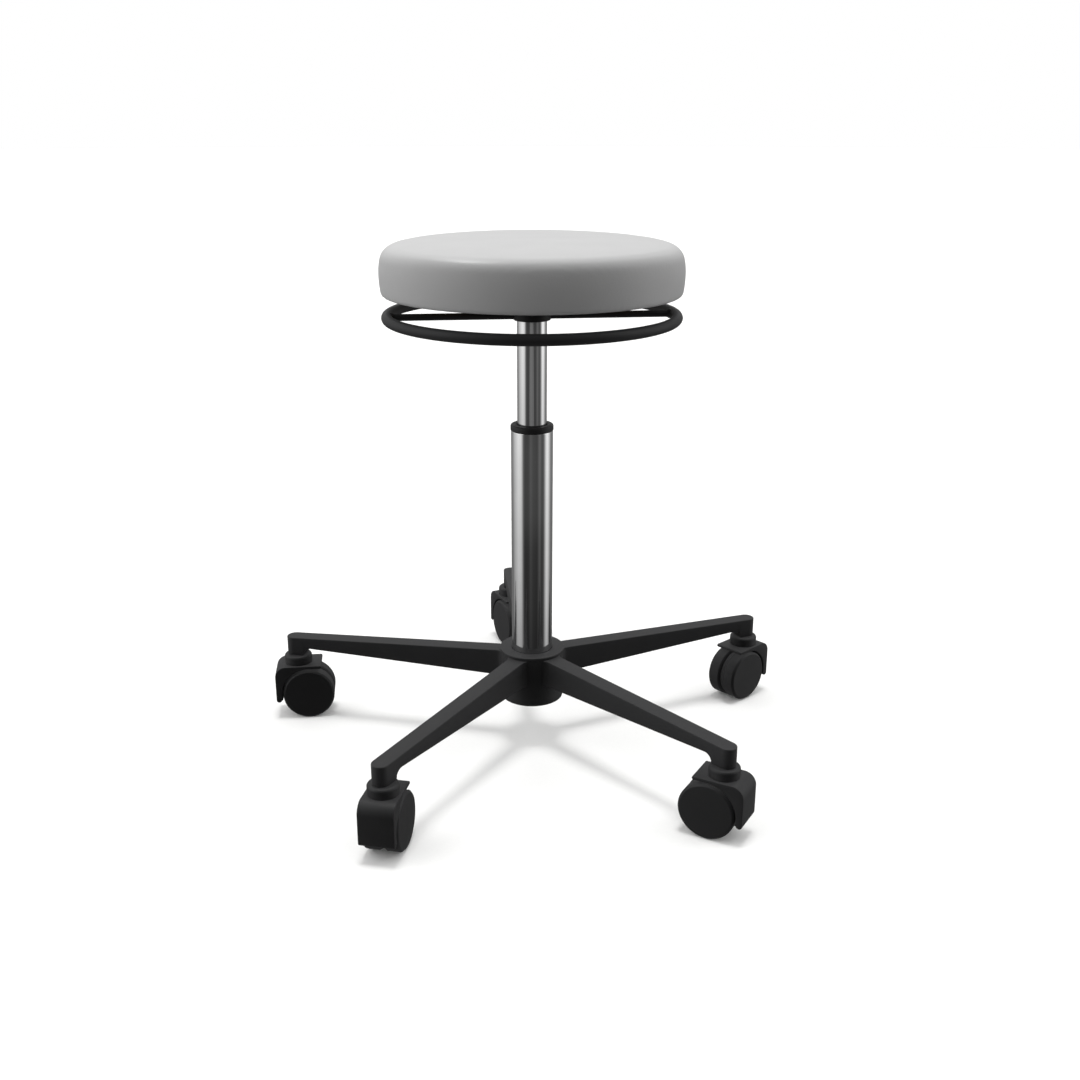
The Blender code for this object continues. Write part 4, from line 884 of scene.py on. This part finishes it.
hoodMesh, wheelMesh = makeHood(), makeWheel()
circle = baseSizes["circle"] * mm
for number in range(1, baseSizes["arms"] + 1):
    turn = math.pi / 2 + 2 * math.pi * (number - 1) / baseSizes["arms"]
    spot = Matrix.Translation((circle * math.cos(turn), circle * math.sin(turn), 0))
    spot = spot @ Matrix.Rotation(turn + math.radians(castorAngles["turn"]), 4, "Z")
    castor = "castor_%d" % number
    addPiece("castorHood%d" % number, moved(hoodMesh, spot), castor, "black_nylon", castor + "_hood", wear=True)
    spindle = spot @ Matrix.Translation((-castorSizes["trail"] * mm, 0, castorSizes["axle"] * mm))
    for side, lean in (("left", -1), ("right", 1)):
        wheel = castor + "_wheel_" + side
        upright = spindle @ Matrix.Rotation(lean * math.pi / 2, 4, "X")
        addPiece("castorWheel%d%s" % (number, side.title()), moved(wheelMesh, upright), wheel, "black_nylon",
                 wheel, wear=True)
for mesh in (hoodMesh, wheelMesh):
    bpy.data.meshes.remove(mesh)
print("castors made")


# Studio: pale floor, white surround, lights, bright walls at both sides and the photograph's viewpoint
cameraSet = dict(distance=1.4412, azimuth=-5.85, height=0.7537, pitch=18.80, lens=41.68, sensor=36, shift=0.0074)
studio = dict(floorRadius=30, surroundRadius=40, baseHeight=0.2)  # metres
floorLook = dict(tones=("#f2f2f1", "#ededec"), fibre=4, shader={"Roughness": 0.8, "Specular IOR Level": 0.1})
# strength, degrees across, and degrees of tilt about X and Y
lightSet = {
    "overhead": (2.6, 44, (-34, 3)),
    "overhead, seat": (2.7, 44, (-34, 3)),
    "overhead, base": (1.72, 50, (-17, 3)),
    "sky over the floor": (1.5, 179, (0, 0)),
    "lamp over the floor": (1.35, 16, (0, 0)),
    "glint": (2.0, 2, (-21, -18.5)),
    "panel": (0.03, 34, (75.5, -143)),
}
# glow of the studio's walls by degrees round from the camera: dim in front, softly lit panels left and right
wallGlow = [(-180, 0.20), (-128, 0.26), (-112, 0.53), (-80, 0.84), (-62, 0.75), (-47, 0.09), (-38, 0.04),
            (-20, 0.04), (-7, 0.08), (7, 0.05), (28, 0.04), (43, 0.12), (57, 0.05), (68, 0.11), (85, 0.90),
            (93, 1.00), (104, 0.75), (118, 0.30), (130, 0.20), (180, 0.20)]
# and by height, as the sine of the elevation: the panels fade towards the floor
heightGlow = [(-1, 0.15), (-0.5, 0.35), (-0.37, 0.78), (-0.29, 1.00), (-0.2, 1.12), (0, 1.60), (0.3, 2.45),
              (0.7, 2.30), (1, 0.70)]
# light thrown up by the pale floor round the stool, and the faint foot of the far wall
bounceGlow = [(-1, 0.19), (-0.64, 0.17), (-0.52, 0), (-0.25, 0), (-0.2, 0.03), (-0.08, 0.03), (0, 0), (1, 0)]


def makeFloor():
    body = bmesh.new()
    bmesh.ops.create_circle(body, cap_ends=True, segments=96, radius=studio["floorRadius"])
    floor = newObject("floor", meshOf("floor", body))
    # matt studio paper: white, with a barely visible fibre
    material, tree, place = newMaterial("white studio paper")
    fibre = addNode(tree, "ShaderNodeTexNoise", {"Scale": 1 / (floorLook["fibre"] * mm), "Detail": 3.0},
                    {"Vector": place})
    finishSurface(tree, floorLook, fibre.outputs[0])
    floor.data.materials.append(material)
    floor.visible_diffuse = False  # bounceGlow stands for the light that the floor throws back up
    floor.visible_glossy = False
    return floor


def makeSurround():
    body = bmesh.new()
    bmesh.ops.create_icosphere(body, subdivisions=4, radius=studio["surroundRadius"])
    surround = newObject("surround", meshOf("surround", body))
    # an even white behind everything, which lights nothing
    material = bpy.data.materials.new("white surround")
    material.use_nodes = True
    tree = material.node_tree
    tree.nodes.clear()
    glow = addNode(tree, "ShaderNodeEmission", {"Color": (1, 1, 1, 1), "Strength": 1.0})
    addNode(tree, "ShaderNodeOutputMaterial", links={"Surface": glow.outputs[0]})
    surround.data.materials.append(material)
    for ray in ("diffuse", "glossy", "transmission", "shadow", "volume_scatter"):
        setattr(surround, "visible_" + ray, False)


def makeLight(name, lit, shades=None):  # without shades every piece shades, with none of them nothing does
    energy, angle, tilt = lightSet[name]
    lamp = bpy.data.lights.new(name, "SUN")
    lamp.energy = energy
    lamp.angle = math.radians(angle)
    lamp.use_shadow = shades != []
    light = newObject(name, lamp)
    light.rotation_euler = [math.radians(v) for v in tilt] + [0]
    for use, members in (("receiver_collection", lit), ("blocker_collection", shades)):
        if members:
            group = bpy.data.collections.new(name + " " + use)
            for member in members:
                group.objects.link(member)
            setattr(light.light_linking, use, group)
    return light


def makeWalls():
    world = bpy.data.worlds.new("studio walls")
    world.use_nodes = True
    tree = world.node_tree
    way = addNode(tree, "ShaderNodeTexCoord").outputs["Generated"]
    facing = addNode(tree, "ShaderNodeMapping", {"Rotation": (0, 0, math.radians(90 - cameraSet["azimuth"]))},
                     {"Vector": way})
    around = addNode(tree, "ShaderNodeTexGradient", {"gradient_type": "RADIAL"}, {"Vector": facing.outputs[0]})
    upward = addNode(tree, "ShaderNodeSeparateXYZ", links={0: way})
    level = addNode(tree, "ShaderNodeMath", {"operation": "MULTIPLY_ADD", 1: 0.5, 2: 0.5},
                    {0: upward.outputs["Z"]})
    glows, top = [], 2.0  # a ramp holds a glow as its share of this
    for source, stops, span in ((around.outputs["Fac"], wallGlow, 360), (level.outputs[0], heightGlow, 2),
                                (level.outputs[0], bounceGlow, 2)):
        ramp = addNode(tree, "ShaderNodeValToRGB", links={0: source})
        marks = ramp.color_ramp.elements
        while len(marks) < len(stops):
            marks.new(0.5)
        for mark, (place, glow) in zip(marks, stops):
            mark.position = 0.5 + place / span
            mark.color = [glow / top] * 3 + [1]
        glows.append(ramp.outputs[0])
    both = addNode(tree, "ShaderNodeMath", {"operation": "MULTIPLY"}, {0: glows[0], 1: glows[1]})
    added = addNode(tree, "ShaderNodeMath", {"operation": "MULTIPLY_ADD", 1: top},
                    {0: both.outputs[0], 2: glows[2]})
    total = addNode(tree, "ShaderNodeMath", {"operation": "MULTIPLY", 1: top}, {0: added.outputs[0]})
    background = tree.nodes["Background"]
    background.inputs["Color"].default_value = (1, 1, 1, 1)
    tree.links.new(total.outputs[0], background.inputs["Strength"])
    scene.world = world


def makeCamera():
    c = cameraSet
    lens = bpy.data.cameras.new("camera")
    lens.lens = c["lens"]
    lens.sensor_width = c["sensor"]
    lens.shift_x = c["shift"]
    camera = newObject("camera", lens)
    turn = math.radians(c["azimuth"])
    camera.location = (c["distance"] * math.sin(turn), -c["distance"] * math.cos(turn), c["height"])
    camera.rotation_euler = (math.radians(90 - c["pitch"]), 0, turn)
    scene.camera = camera


# as in the photograph, the seat leaves no shade on the base or on the floor
pieces = [item for item in bpy.data.objects if item.type == "MESH"]
lowPieces = [item for item in pieces if max(corner[2] for corner in item.bound_box) < studio["baseHeight"]]
highPieces = [item for item in pieces if item not in lowPieces + [cushion]]
shading = lowPieces + [columnTube]
floor = makeFloor()
makeSurround()
makeLight("overhead", highPieces)
makeLight("overhead, seat", [cushion]).visible_glossy = False  # so that the glint shows alone
makeLight("overhead, base", lowPieces, [])
makeLight("sky over the floor", [floor], shading)
makeLight("lamp over the floor", [floor], shading)
# the lamp's own glint on the edge of the vinyl, and a dim panel that the upper tube mirrors
makeLight("glint", [cushion]).visible_diffuse = False
makeLight("panel", [gasCylinder], [])
makeWalls()
makeCamera()
scene.view_settings.view_transform = "Standard"
print("studio made")
